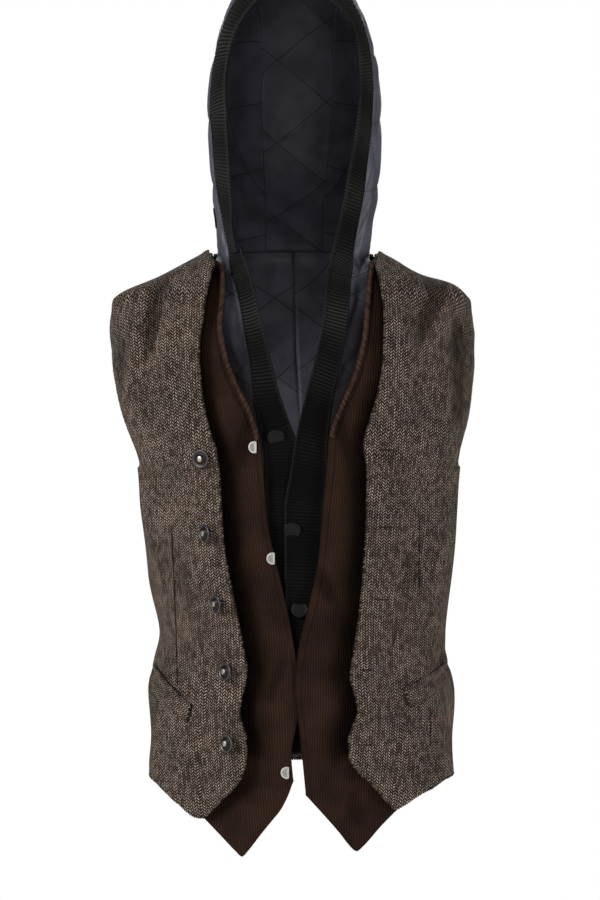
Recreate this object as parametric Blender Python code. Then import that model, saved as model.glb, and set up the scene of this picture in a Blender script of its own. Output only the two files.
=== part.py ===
"""Hooded vest in three layers, filled out as if worn and hollow inside.

An outer tweed vest hangs open over two corduroy fronts, and both are sewn at the shoulder
and side seams to a closed inner vest of quilted nylon, whose hood has a rib-knit trim.

Every cloth piece is a thin wall over one shared form. A place on the form is a bearing,
in degrees from the centre front and positive towards +X, and a height above the base of
the neck. A layer is the form moved outwards by its lift. Lengths are millimetres here and
metres in the meshes. The wearer's right side is at -X, the front faces -Y, and the origin
is the base of the neck, where the shoulders carry the vest.
"""
import functools
import math

import bpy
import numpy as np
from mathutils import Vector
from mathutils.bvhtree import BVHTree

MM = 0.001

# ---------------------------------------------------------------- the form under the cloth

SQUARENESS = 2.5
WIDEST_HOOD = 147.0
CROWN = 335.0
HOOD_CENTRE_Y = 20.0

#  height, half width, depth in front, depth behind, sideways shift
FORM = (
    (-700, 156, 110, 112, 5),
    (-600, 158, 114, 115, 5),
    (-548, 157, 113, 112, 5),
    (-497, 159, 110, 107, 5),
    (-463, 153, 107, 102, 5),
    (-429, 148, 106, 98, 6),
    (-362, 158, 110, 104, 4),
    (-294, 164, 115, 112, 3),
    (-243, 168, 118, 118, 2),
    (-226, 175, 119, 119, 1),
    (-209, 184, 119, 120, 0),
    (-192, 192, 118, 120, -1),
    (-158, 203, 114, 119, -3),
    (-124, 208, 107, 116, -4),
    (-100, 207, 100, 111, -5),
    (-83, 202, 94, 106, -6),
    (-66, 193, 88, 101, -6),
    (-43, 142, 76, 94, -6),
    (-21, 94, 64, 86, -5),
    (-8, 84, 58, 81, -4),
    (30, 85, 66, 94, -3),
    (60, 90, 76, 112, -2),
    (100, 93, 86, 130, -2),
    (WIDEST_HOOD, 95, 92, 138, -3),
)

# ---------------------------------------------------------------- walls and layers

SEAM_GAP = 0.3
HOOD_SEAM_GAP = 0.9
NECK_GAP = 1.1
NYLON_WALL = 2.0
RIB_WALL = 2.4
CORD_WALL = 1.6
TWEED_WALL = 2.0
CORD_SEAM_LIFT = NYLON_WALL + SEAM_GAP
TWEED_SEAM_LIFT = CORD_SEAM_LIFT + CORD_WALL + SEAM_GAP
CORD_LOOSE = 7.0
TWEED_LOOSE = 12.0
TWEED_BACK_LOOSE = 2.0
LOOSE_REACH = 60.0
LAP_LIFT = 3.0
LAP_TOP = -185.0
LAP_REACH = 25.0

# ---------------------------------------------------------------- seams shared by the layers

SHOULDER_TIP = -66.0
NECK_SIDE = -5.0
NAPE = 3.0
NECK_FRONT = -31.0
NECK_STEPS = 8
UNDERARM = -243.0

#  height, how far the armhole edge lies in front of the seams, and behind them
ARMHOLE = (
    (UNDERARM, 0, 0),
    (-238, 13, 15),
    (-222, 29, 33),
    (-195, 42, 48),
    (-155, 50, 55),
    (-122, 48, 52),
    (-98, 40, 43),
    (-83, 30, 32),
    (-74, 20, 21),
    (SHOULDER_TIP, 0, 0),
)
#  heights of the rows of every panel at the side seam and armhole, above its hem
SIDE_ROWS = (
    -545, -515, -485, -455, -425, -395, -365, -335, -305, -275, UNDERARM,
    -238, -222, -195, -155, -122, -98, -83, -74, SHOULDER_TIP,
)
FRONT_COLUMNS = 8
ON_SHOULDER = 5

# ---------------------------------------------------------------- edges of the fronts, as they show

#  height, sideways place of the edge on the wearer's right front
TWEED_EDGE_RIGHT = (
    (-560, -55), (-538, -56), (-510, -63), (-488, -59), (-465, -55), (-442, -59),
    (-405, -66), (-360, -75), (-320, -81), (-265, -84), (-232, -87), (-200, -97),
    (-160, -104), (-115, -107), (-78, -103), (-40, -97), (-22, -92),
)
TWEED_EDGE_LEFT = (
    (-560, 58), (-541, 57), (-508, 67), (-488, 63), (-473, 59), (-443, 63),
    (-402, 69), (-357, 73), (-311, 76), (-250, 77), (-222, 73), (-200, 78),
    (-162, 89), (-125, 95), (-80, 96), (-40, 92), (-22, 88),
)
CORD_EDGE_RIGHT = (
    (-586, -4), (-560, -6), (-500, 3), (-457, -1), (-405, -10), (-357, -21),
    (-300, -33), (-235, -38), (-204, -43), (-182, -50), (-150, -66), (-120, -77),
    (-85, -83), (-45, -79), (-28, -79),
)
CORD_EDGE_LEFT = (
    (-601, 10), (-560, 6), (-521, 2), (-481, -2), (-443, 2), (-400, 12),
    (-350, 23), (-296, 28), (-242, 33), (-204, 36), (-182, 44), (-137, 63),
    (-100, 72), (-45, 77), (-26, 79),
)

#  bearing and height of the last step of each edge before the neck seam
TWEED_NECK_STEP = (80, -12)
CORD_NECK_STEP = (72, -18)
#  columns from the front edge, sideways place, height; the tip is the lowest row
TWEED_HEM_RIGHT = (
    (0, -55, -560), (1, -61, -582), (2, -80, -604),
    (3, -105, -628), (4, -131, -615), (6, -158, -594),
)
TWEED_HEM_LEFT = (
    (0, 58, -560), (1, 70, -578), (2, 89, -597),
    (3, 111, -618), (4, 135, -604), (6, 165, -590),
)
CORD_HEM_RIGHT = (
    (0, -4, -586), (1, -15, -614), (2, -36, -640),
    (3, -60, -669), (4, -86, -643), (6, -132, -602),
)
CORD_HEM_LEFT = (
    (0, 10, -601), (1, 28, -621), (2, 47, -643),
    (3, 67, -664), (4, 94, -634), (6, 138, -600),
)
TWEED_SIDE_HEM = -585.0
CORD_SIDE_HEM = -578.0
NYLON_SIDE_HEM = -575.0
NYLON_FRONT_HEM = -556.0
BACK_HEM_DIP = 3.0

#  height, how far the free front edge stands out from the layer
TWEED_STAND_RIGHT = (
    (-640, 6), (-545, 9), (-480, 12), (-400, 14), (-300, 13),
    (-220, 9), (-110, 6), (-20, 5), (8, 0),
)
TWEED_STAND_LEFT = (
    (-640, 6), (-545, 9), (-470, 10), (-400, 8), (-300, 7),
    (-220, 9), (-110, 7), (-20, 6), (8, 0),
)
STAND_REACH = 30.0

# ---------------------------------------------------------------- the rib-knit trim

#  height, sideways place of the free edge on the right and on the left
FACE_EDGE = (
    (NECK_FRONT, -53, 34),
    (8, -61, 41),
    (51, -67, 51),
    (95, -72, 58),
    (139, -75, 65),
    (183, -76, 68),
    (219, -71, 66),
    (245, -61, 59),
    (265, -47, 43),
    (281, -27, 22),
)
FACE_TOP = (-3, 288)
V_EDGE = (
    (NYLON_FRONT_HEM, 8, -12),
    (-290, 8, -12),
    (-250, 4, -6),
    (-218, -1, -1),
    (-193, -10, 4),
    (-161, -21, 12),
    (-128, -29, 21),
    (-95, -38, 28),
    (-61, -46, 32),
    (NECK_FRONT, -53, 34),
)
#  height, width of the trim on the right and on the left, how far its free edge stands out there
TRIM = (
    (NYLON_FRONT_HEM, 42, 42, 0, 0),
    (-290, 42, 42, 0, 0),
    (-215, 34, 34, 0, 0),
    (-170, 29, 29, 5, 2),
    (-120, 26, 26, 14, 4),
    (-60, 26, 26, 19, 5),
    (0, 26, 26, 17, 4),
    (60, 33, 26, 7, 2),
    (120, 39, 26, 2, 2),
    (160, 44, 26, 2, 2),
    (240, 42, 28, 2, 2),
    (288, 33, 33, 2, 2),
)
HOOD_BAND_STEPS = 40
GUSSET_FROM = 15
GUSSET_HALF_WIDTH = 42.0
GUSSET_STEPS = 12
#  rows of the inner front's free edge: its number above the hem, its height
V_ROWS = ((0, NYLON_FRONT_HEM), (4, -300), (15, NECK_FRONT))

# ---------------------------------------------------------------- small pieces

#  sideways place, height
TWEED_BUTTONS = ((-102, -235), (-94, -316), (-82, -392), (-73, -467), (-72, -544))
CORD_STUDS = ((-46, -223), (-26.5, -344), (-11, -577))
INNER_BUTTONS = ((-23, -212), (-5, -313), (3, -400))
#  corners of each pocket welt: sideways place and height, top edge then lower edge
WELT_RIGHT = ((-121, -505), (-157, -468), (-125, -524), (-163, -491))
WELT_LEFT = ((124, -490), (164, -464), (130, -508), (169, -483))
WELT_WALL = 1.6
WELT_CLEARANCE = 1.3
BINDING_WIDTH = 7.0
BINDING_WALL = 1.2
BINDING_CLEARANCE = 0.5
BINDING_FOOT = -212.0
BUTTON_STAND = 0.4
TAB_PLACE = (0.0, 36.0)
TAB_SIZE = (1.2, 9.0, 22.0)

#  radius, height of the turned outlines, from the centre of the back to the centre of the face
TWEED_BUTTON = (
    (0, 0), (3.0, 0), (3.0, 2.4), (8.6, 2.8), (10.0, 3.6), (9.9, 4.6), (8.2, 4.9),
    (6.4, 4.1), (5.0, 4.5), (3.2, 6.3), (0, 7.0),
)
INNER_BUTTON = ((0, 0), (8.2, 0), (9.4, 0.8), (9.4, 1.8), (8.0, 2.4), (6.6, 1.9), (0, 1.9))
STUD_RADIUS = 6.6
STUD_CUT = 2.4
STUD_STEPS = 14
#  height of the stud's face, how far it is drawn in
STUD_LEVELS = ((0.0, 0.0), (1.3, 0.0), (1.8, 0.7), (1.4, 1.8))

# ---------------------------------------------------------------- red, green, blue, roughness, metallic

FINISHES = {
    "tweed": (0.105, 0.082, 0.064, 0.92, 0.0),
    "corduroy": (0.043, 0.024, 0.019, 0.85, 0.0),
    "nylon": (0.048, 0.048, 0.062, 0.48, 0.0),
    "rib_knit": (0.012, 0.012, 0.011, 0.9, 0.0),
    "gunmetal": (0.10, 0.10, 0.105, 0.38, 0.9),
    "silver": (0.56, 0.54, 0.51, 0.35, 0.9),
    "black_button": (0.008, 0.007, 0.007, 0.25, 0.0),
}


# ================================================================ curves and the form

@functools.lru_cache(maxsize=None)
def slopes_of(rows, column):
    """Steps, rises and slopes of a smooth curve that doesn't overshoot the table."""
    xs = [row[0] for row in rows]
    ys = [row[column] for row in rows]
    steps = [b - a for a, b in zip(xs, xs[1:])]
    rises = [(b - a) / step for a, b, step in zip(ys, ys[1:], steps)]
    slopes = [rises[0]]
    for before, after, step, following in zip(rises, rises[1:], steps, steps[1:]):
        if before * after <= 0:
            slopes.append(0.0)
            continue
        weights = (2 * following + step, following + 2 * step)
        slopes.append(sum(weights) / (weights[0] / before + weights[1] / after))
    slopes.append(rises[-1])
    return xs, ys, steps, slopes


@functools.lru_cache(maxsize=100000)
def through(rows, column, at):
    """The value of a column of a table at this place in its first column."""
    xs, ys, steps, slopes = slopes_of(rows, column)
    if at <= xs[0]:
        return float(ys[0])
    if at >= xs[-1]:
        return float(ys[-1])
    k = max(i for i in range(len(xs) - 1) if xs[i] <= at)
    t = (at - xs[k]) / steps[k]
    return float(
        (1 + 2 * t) * (1 - t) ** 2 * ys[k]
        + t * (1 - t) ** 2 * steps[k] * slopes[k]
        + t * t * (3 - 2 * t) * ys[k + 1]
        - t * t * (1 - t) * steps[k] * slopes[k + 1]
    )


def along(points, share):
    """A place on the smooth curve through points, by its share of the straight runs' length."""
    points = [np.array(p, float) for p in points]
    lengths = [0.0]
    for a, b in zip(points, points[1:]):
        lengths.append(lengths[-1] + float(np.linalg.norm(b - a)))
    at = share * lengths[-1]
    k = max(i for i in range(len(points) - 1) if lengths[i] <= at + 1e-9)
    t = (at - lengths[k]) / (lengths[k + 1] - lengths[k])
    before = points[max(k - 1, 0)]
    after = points[min(k + 2, len(points) - 1)]
    a, b = points[k], points[k + 1]
    return 0.5 * (
        2 * a + (b - before) * t + (2 * before - 5 * a + 4 * b - after) * t ** 2
        + (3 * a - before - 3 * b + after) * t ** 3
    )


def eased(t):
    t = min(max(t, 0.0), 1.0)
    return t * t * (3 - 2 * t)


@functools.lru_cache(maxsize=100000)
def section(height):
    """Half width, depth in front, depth behind and shift of the form; a dome closes the hood."""
    values = [through(FORM, column, min(height, WIDEST_HOOD)) for column in (1, 2, 3, 4)]
    if height > WIDEST_HOOD:
        dome = math.sqrt(max(1 - ((height - WIDEST_HOOD) / (CROWN - WIDEST_HOOD)) ** 2, 1e-4))
        values[:3] = [value * dome for value in values[:3]]
    return values


def gauge(p):
    """1 on the form, less inside it."""
    half, front, back, shift = section(min(p[2], WIDEST_HOOD))
    depth = front if p[1] < 0 else back
    reach = (abs((p[0] - shift) / half) ** SQUARENESS + abs(p[1] / depth) ** SQUARENESS) ** (1 / SQUARENESS)
    return math.hypot(reach, max(p[2] - WIDEST_HOOD, 0.0) / (CROWN - WIDEST_HOOD))


def steepest(p):
    step = 0.5
    return np.array([
        gauge(p + np.eye(3)[axis] * step) - gauge(p - np.eye(3)[axis] * step) for axis in range(3)
    ]) / (2 * step)


def outward(p):
    direction = steepest(p)
    return direction / np.linalg.norm(direction)


def on_form(p):
    """The point of the form nearest to p."""
    for _ in range(4):
        direction = steepest(p)
        p = p - direction * (gauge(p) - 1) / float(direction @ direction)
    return p


def place(bearing, height):
    half, front, back, shift = section(height)
    turn = math.radians(bearing)
    depth = front if math.cos(turn) > 0 else back
    reach = (
        abs(math.sin(turn) / half) ** SQUARENESS + abs(math.cos(turn) / depth) ** SQUARENESS
    ) ** (-1 / SQUARENESS)
    return np.array([shift + reach * math.sin(turn), -reach * math.cos(turn), height])


def spot(p):
    """The bearing and height of a point."""
    shift = section(p[2])[3]
    return np.array([math.degrees(math.atan2(p[0] - shift, -p[1])), p[2]])


def in_front(x, height):
    """The form's point straight behind a place seen from the front."""
    half, front, _, shift = section(height)
    part = min(abs(x - shift) / half, 1.0)
    away = (1 - part ** SQUARENESS) ** (1 / SQUARENESS)
    return np.array([shift + math.copysign(part * half, x - shift), -front * away, height])


def showing_at(x, height, lift, thickness=0.0):
    """The form's point that shows at x and height once it is raised by its layer."""
    at = [x, height]
    for _ in range(12):
        p = in_front(*at)
        q = p + outward(p) * (lift(p) + thickness)
        at = [p[0] + 0.8 * (x - q[0]), p[2] + 0.8 * (height - q[2])]
    return in_front(*at)


def at_armhole(side, front, height):
    """The armhole edge, or the side seam below it; front is 1 before the seam and -1 behind it."""
    half, ahead, behind, shift = section(height)
    away = through(ARMHOLE, 1 if front > 0 else 2, height)
    depth = ahead if front > 0 else behind
    x = half * (1 - (away / depth) ** SQUARENESS) ** (1 / SQUARENESS)
    return np.array([shift + side * x, -front * away, height])


def crown(x, sweep):
    """The hood's point at x, in a direction that turns from the back over the crown to the front."""
    turn = math.radians(sweep)
    near, far = 0.0, 400.0
    for _ in range(40):
        middle = (near + far) / 2
        p = np.array([x, HOOD_CENTRE_Y + middle * math.cos(turn), WIDEST_HOOD + middle * math.sin(turn)])
        if gauge(p) < 1:
            near = middle
        else:
            far = middle
    return p


def sweep_of(p):
    return math.degrees(math.atan2(p[2] - WIDEST_HOOD, p[1] - HOOD_CENTRE_Y))


# ================================================================ how far each layer lies out

def looseness(p):
    """0 at the seams and armholes, 1 where the layers hang free."""
    edge = through(ARMHOLE, 1 if p[1] < 0 else 2, p[2])
    t = min(max((abs(p[1]) - edge) / LOOSE_REACH, 0.0), 1.0)
    return t * (2 - t)


def edge_stand(p, edge_rows, stand_rows):
    """The free front edge turns out towards the viewer."""
    distance = abs(p[0] - through(edge_rows, 1, p[2])) / STAND_REACH
    return through(stand_rows, 1, p[2]) * math.exp(-distance * distance)


def lift_tweed_right(p):
    return TWEED_SEAM_LIFT + TWEED_LOOSE * looseness(p) + edge_stand(p, TWEED_EDGE_RIGHT, TWEED_STAND_RIGHT)


def lift_tweed_left(p):
    return TWEED_SEAM_LIFT + TWEED_LOOSE * looseness(p) + edge_stand(p, TWEED_EDGE_LEFT, TWEED_STAND_LEFT)


def lift_tweed_back(p):
    return TWEED_SEAM_LIFT + TWEED_BACK_LOOSE * looseness(p)


def lift_cord_right(p):
    return CORD_SEAM_LIFT + CORD_LOOSE * looseness(p)


def lift_cord_left(p):
    """The left front laps over the right one."""
    over = eased((60 - abs(p[0] - through(CORD_EDGE_LEFT, 1, p[2]))) / 60)
    return lift_cord_right(p) + LAP_LIFT * over * looseness(p)


def lift_none(p):
    return 0.0


# ================================================================ patches of cloth

def patch(left, right, bottom, top, columns, shares):
    """Points of the form between four curves; shares holds how far up each row lies."""
    corners = left(0), right(0), left(1), right(1)
    grid = []
    for i, v in enumerate(shares):
        row = [left(v)]
        for j in range(1, columns):
            u = j / columns
            if i in (0, len(shares) - 1):
                row.append(bottom(u) if i == 0 else top(u))
                continue
            p = (1 - u) * left(v) + u * right(v) + (1 - v) * bottom(u) + v * top(u)
            p = p - (1 - v) * ((1 - u) * corners[0] + u * corners[1])
            p = p - v * ((1 - u) * corners[2] + u * corners[3])
            row.append(on_form(p))
        grid.append(row + [right(v)])
    return np.array(grid)


def raised(grid, lift, extra=0.0):
    return np.array([[p + outward(p) * (lift(p) + extra) for p in row] for row in grid])


def with_edge_column(grid, width):
    """The grid with one more column, at this distance from the first one."""
    way = grid[:, 1] - grid[:, 0]
    way = grid[:, 0] + way / np.linalg.norm(way, axis=-1, keepdims=True) * width
    column = np.array([[on_form(p)] for p in way])
    return np.concatenate([grid[:, :1], column, grid[:, 1:]], axis=1)


def evened(grid, rounds):
    """The grid with its inner points spread more evenly over the form."""
    grid = grid.copy()
    for _ in range(rounds):
        around = (grid[:-2, 1:-1] + grid[2:, 1:-1] + grid[1:-1, :-2] + grid[1:-1, 2:]) / 4
        grid[1:-1, 1:-1] = [[on_form(p) for p in row] for row in around]
    return grid


def drawn_in(grid, seams, gap=SEAM_GAP):
    """Moves the edges named in seams back from the neighbour by half the gap."""
    grid = grid.copy()
    edges = {
        "left": ((slice(None), 0), (slice(None), 1)),
        "right": ((slice(None), -1), (slice(None), -2)),
        "bottom": ((0, slice(None)), (1, slice(None))),
        "top": ((-1, slice(None)), (-2, slice(None))),
    }
    for seam in seams:
        edge, inside = edges[seam]
        way = grid[inside] - grid[edge]
        grid[edge] += way / np.linalg.norm(way, axis=-1, keepdims=True) * gap / 2
    return grid


def finish(name, finish_name, vertices, faces):
    """One closed mesh in metres, turned to face outwards."""
    vertices = np.array(vertices) * MM
    faces = [(face[0], face[k], face[k + 1]) for face in faces for k in range(1, len(face) - 1)]
    volume = sum(np.dot(vertices[a], np.cross(vertices[b], vertices[c])) for a, b, c in faces)
    if volume < 0:
        faces = [face[::-1] for face in faces]
    mesh = bpy.data.meshes.new(name)
    mesh.from_pydata([tuple(v) for v in vertices], [], faces)
    mesh.shade_smooth()
    mesh.set_sharp_from_angle(angle=math.radians(40))
    mesh.materials.append(finish_material(finish_name))
    made = bpy.data.objects.new(name, mesh)
    bpy.context.scene.collection.objects.link(made)
    return made


def finish_material(name):
    material = bpy.data.materials.get(name)
    if material:
        return material
    red, green, blue, roughness, metallic = FINISHES[name]
    material = bpy.data.materials.new(name)
    material.use_nodes = True
    surface = material.node_tree.nodes["Principled BSDF"]
    surface.inputs["Base Color"].default_value = (red, green, blue, 1)
    surface.inputs["Roughness"].default_value = roughness
    surface.inputs["Metallic"].default_value = metallic
    return material


def wall(name, finish_name, inner, outer):
    """A closed wall between two grids of the same size."""
    rows, columns = inner.shape[:2]

    def at(layer, i, j):
        return layer * rows * columns + i * columns + j

    faces = []
    for i in range(rows - 1):
        for j in range(columns - 1):
            faces.append((at(0, i, j), at(0, i, j + 1), at(0, i + 1, j + 1), at(0, i + 1, j)))
            faces.append((at(1, i, j), at(1, i + 1, j), at(1, i + 1, j + 1), at(1, i, j + 1)))
    rim = [(i, 0) for i in range(rows - 1)]
    rim += [(rows - 1, j) for j in range(columns - 1)]
    rim += [(i, columns - 1) for i in range(rows - 1, 0, -1)]
    rim += [(0, j) for j in range(columns - 1, 0, -1)]
    for (i, j), (k, m) in zip(rim, rim[1:] + rim[:1]):
        faces.append((at(0, i, j), at(0, k, m), at(1, k, m), at(1, i, j)))
    vertices = np.concatenate([inner.reshape(-1, 3), outer.reshape(-1, 3)])
    return finish(name, finish_name, vertices, faces)


def cloth(name, finish_name, grid, lift, thickness, seams=(), gap=SEAM_GAP):
    """A panel between its lift and its lift plus thickness, and its grid on the form."""
    grid = drawn_in(grid, seams, gap)
    wall(name, finish_name, raised(grid, lift), raised(grid, lift, thickness))
    return grid


# ================================================================ fronts and backs

def row_shares(hem):
    """How far up the side each row of a panel lies, from its hem to the shoulder tip."""
    return [(row - hem) / (SHOULDER_TIP - hem) for row in (hem,) + SIDE_ROWS]


def shoulder_seam(side):
    return lambda u: place(side * 90.0, NECK_SIDE + (SHOULDER_TIP - NECK_SIDE) * u)


def side_edge(side, front, hem):
    return lambda v: at_armhole(side, front, hem + v * (SHOULDER_TIP - hem))


def front_panel(side, edge_rows, neck_step, hem_rows, side_hem, lift, thickness):
    """A front from its free edge to the side seam, as points of the form."""
    low = (side_hem, SIDE_ROWS[1], UNDERARM, SIDE_ROWS[-3])
    high = (edge_rows[0][0], SIDE_ROWS[1], UNDERARM, edge_rows[-1][0])

    def edge(v):
        at_side = side_hem + v * (SHOULDER_TIP - side_hem)
        if at_side > SIDE_ROWS[-2] + 1:
            return place(side * 90.0, NECK_SIDE)
        if at_side > SIDE_ROWS[-3] + 1:
            return place(side * neck_step[0], neck_step[1])
        height = float(np.interp(at_side, low, high))
        return showing_at(through(edge_rows, 1, height), height, lift, thickness)

    shares = [row[0] / FRONT_COLUMNS for row in hem_rows] + [1.0]
    spots = [spot(showing_at(x, z, lift, thickness)) for _, x, z in hem_rows] + [(side * 90.0, side_hem)]

    def hem(u):
        return place(*(np.interp(u, shares, [s[k] for s in spots]) for k in (0, 1)))

    return patch(
        edge, side_edge(side, 1, side_hem), hem, shoulder_seam(side), FRONT_COLUMNS, row_shares(side_hem),
    )


def neck_behind(t):
    """The neck seam behind, from the left shoulder seam round to the right one."""
    return place(90 + 180 * t, NECK_SIDE + (NAPE - NECK_SIDE) * math.sin(math.pi * t))


def back_panel(side_hem):
    """A back from the left side seam round to the right one, as points of the form."""
    columns = 2 * ON_SHOULDER + NECK_STEPS

    def hem(u):
        return place(90 + 180 * u, side_hem - BACK_HEM_DIP * math.sin(math.pi * u))

    def top(u):
        at = u * columns
        if at < ON_SHOULDER:
            return shoulder_seam(1)(1 - at / ON_SHOULDER)
        if at > columns - ON_SHOULDER:
            return shoulder_seam(-1)(1 - (columns - at) / ON_SHOULDER)
        return neck_behind((at - ON_SHOULDER) / NECK_STEPS)

    edges = side_edge(1, -1, side_hem), side_edge(-1, -1, side_hem)
    return evened(patch(*edges, hem, top, columns, row_shares(side_hem)), 3)


# ================================================================ the trim and the hood

def trim_back(p, tangent, width):
    """The point a trim's width away from its free edge p, measured on the form."""
    steps = 6
    across = np.cross(tangent, outward(p))
    across = across / np.linalg.norm(across)
    for _ in range(steps):
        q = on_form(p + across * width / steps)
        across = (q - p) / np.linalg.norm(q - p)
        p = q
    return p


def trim_spread(height, side):
    """Width that the trim covers on the form, less where its edge stands out."""
    width = through(TRIM, 1 if side < 0 else 2, height)
    stand = through(TRIM, 3 if side < 0 else 4, height)
    return math.sqrt(width * width - stand * stand)


def trim_grid(edge, side_of, flip):
    """Three points across the trim for each point of its free edge."""
    grid = []
    for k, p in enumerate(edge):
        tangent = edge[min(k + 1, len(edge) - 1)] - edge[max(k - 1, 0)]
        back = trim_back(p, tangent * flip, trim_spread(p[2], side_of(p)))
        grid.append([p, on_form((p + back) / 2), back])
    return np.array(grid)


def trim_walls(name, grid, side_of, over, seams):
    """The trim as a wall whose free edge stands out."""
    grid = drawn_in(grid, seams)
    lifts = []
    for row in grid:
        stand = through(TRIM, 3 if side_of(row[0]) < 0 else 4, row[0][2])
        lap = over * LAP_LIFT * eased((LAP_TOP - row[0][2]) / LAP_REACH)
        lifts.append([stand + lap, 0.35 * stand + lap, lap])
    normals = np.array([[outward(p) for p in row] for row in grid])
    lifts = np.array(lifts)[:, :, None]
    outer = grid + normals * (lifts + RIB_WALL)
    wall(name, "rib_knit", grid + normals * lifts, outer)
    return outer


def face_edge_points():
    """The free edge of the trim round the face, from the right side over the top to the left."""
    points = [(row[1], row[0]) for row in FACE_EDGE] + [FACE_TOP]
    points += [(row[2], row[0]) for row in reversed(FACE_EDGE)]
    edge = []
    for k in range(HOOD_BAND_STEPS + 1):
        edge.append(in_front(*along(points, k / HOOD_BAND_STEPS)))
    return edge


def neck_ahead(side, corner):
    """The neck seam in front, from the trim's corner to the shoulder seam."""
    points = [spot(corner), np.array([side * 62.0, -26.0]), np.array([side * 90.0, NECK_SIDE])]
    return lambda t: place(*along(points, t))


def gusset_seam(side, corner, nape):
    """The seam beside the gusset, from the trim over the crown to the nape."""
    start = sweep_of(corner)

    def seam(w):
        x = corner[0] + (side * GUSSET_HALF_WIDTH - corner[0]) * eased(w * 3)
        x += (nape[0] - side * GUSSET_HALF_WIDTH) * eased(w * 2 - 1)
        return crown(x, start + (sweep_of(nape) - start) * w)

    return seam


def nape_corner(side):
    """Where the gusset seam meets the neck seam, at one of that seam's steps."""
    return neck_behind(0.5 - side / NECK_STEPS)


def on_line(points, p):
    """The point of a run of straight lines nearest to p."""
    best = None
    for a, b in zip(points, points[1:]):
        t = min(max(float((p - a) @ (b - a)) / float((b - a) @ (b - a)), 0.0), 1.0)
        q = a + (b - a) * t
        if best is None or np.linalg.norm(q - p) < np.linalg.norm(best - p):
            best = q
    return best


def neck_line_behind():
    return [neck_behind(k / NECK_STEPS) for k in range(NECK_STEPS + 1)]


def hood_side_panel(side, face, neck):
    """A hood side; face holds the trim's back edge from neck to gusset, neck the vest's front neck seam."""
    rows = len(face) - 1
    nape = nape_corner(side)
    turn = 0.5 - side / NECK_STEPS
    ahead = neck_ahead(side, face[0])

    def behind(v):
        start = 0.0 if side > 0 else 1.0
        return neck_behind(start + (turn - start) * v)

    grid = patch(
        lambda v: face[round(v * rows)], behind, ahead, gusset_seam(side, face[-1], nape),
        GUSSET_STEPS, [i / rows for i in range(rows + 1)],
    )
    grid[0] = [on_line(neck, p) + (0, 0, NECK_GAP) for p in grid[0]]
    grid[1:, -1] = [on_line(neck_line_behind(), p) + (0, 0, NECK_GAP) for p in grid[1:, -1]]
    return evened(grid, 20)


def gusset_panel(front):
    """The strip over the crown; front holds the trim's back edge between the two gusset seams."""
    across = len(front) - 1
    seams = [gusset_seam(side, front[k], nape_corner(side)) for side, k in ((-1, 0), (1, -1))]
    grid = patch(
        seams[0], seams[1], lambda u: front[round(u * across)],
        lambda u: neck_behind(0.5 + (0.5 - u) * 2 / NECK_STEPS),
        across, [i / GUSSET_STEPS for i in range(GUSSET_STEPS + 1)],
    )
    grid[-1] = [on_line(neck_line_behind(), p) + (0, 0, NECK_GAP) for p in grid[-1]]
    return grid


# ================================================================ pieces laid on a panel

class Panel:
    """The outer face of a finished panel, to seat small pieces on."""

    def __init__(self, grid):
        rows, columns = grid.shape[:2]
        faces = [
            (i * columns + j, i * columns + j + 1, (i + 1) * columns + j + 1, (i + 1) * columns + j)
            for i in range(rows - 1) for j in range(columns - 1)
        ]
        self.tree = BVHTree.FromPolygons([Vector(p) for p in grid.reshape(-1, 3)], faces)

    def hit(self, start, way):
        """The point met from start along way, and how the panel faces there."""
        point, normal, _, _ = self.tree.ray_cast(Vector(start), Vector(way))
        return point, normal if normal.dot(Vector(way)) < 0 else -normal

    def seat(self, x, z):
        return self.hit((x, -400, z), (0, 1, 0))


def binding(name, finish_name, grid, lift, thickness):
    """A strip over the first two columns of a panel, standing off it by the gap."""
    strip = grid[:, :2]
    base = thickness + BINDING_CLEARANCE
    return wall(name, finish_name, raised(strip, lift, base), raised(strip, lift, base + BINDING_WALL))


def welt(name, corners, panel):
    """A pocket welt between four places given as sideways place and height."""
    steps = 8
    a, b, c, d = [spot(panel.seat(*place_seen)[0]) for place_seen in corners]
    inner, outer = [], []
    for i in range(3):
        start, end = a + (c - a) * i / 2, b + (d - b) * i / 2
        row = []
        for j in range(steps + 1):
            p = place(*(start + (end - start) * j / steps))
            way = outward(p)
            row.append((np.array(panel.hit(p + way * 90, -way)[0]), way))
        inner.append([p + way * WELT_CLEARANCE for p, way in row])
        outer.append([p + way * (WELT_CLEARANCE + WELT_WALL) for p, way in row])
    return wall(name, "tweed", np.array(inner), np.array(outer))


def turned(name, finish_name, outline, segments, point, normal):
    """A round piece from its outline, standing on point with its axis along normal."""
    axis = normal.normalized()
    across = axis.orthogonal().normalized()
    third = axis.cross(across)
    vertices, rings = [], []
    for radius, height in outline:
        foot = point + axis * (height + BUTTON_STAND)
        if radius == 0:
            rings.append([len(vertices)])
            vertices.append(foot)
            continue
        rings.append(list(range(len(vertices), len(vertices) + segments)))
        for k in range(segments):
            turn = 2 * math.pi * k / segments
            vertices.append(foot + (across * math.cos(turn) + third * math.sin(turn)) * radius)
    faces = []
    for low, high in zip(rings, rings[1:]):
        for k in range(segments):
            m = (k + 1) % segments
            face = [low[k % len(low)], low[m % len(low)], high[m % len(high)], high[k % len(high)]]
            faces.append(list(dict.fromkeys(face)))
    return finish(name, finish_name, vertices, faces)


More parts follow.
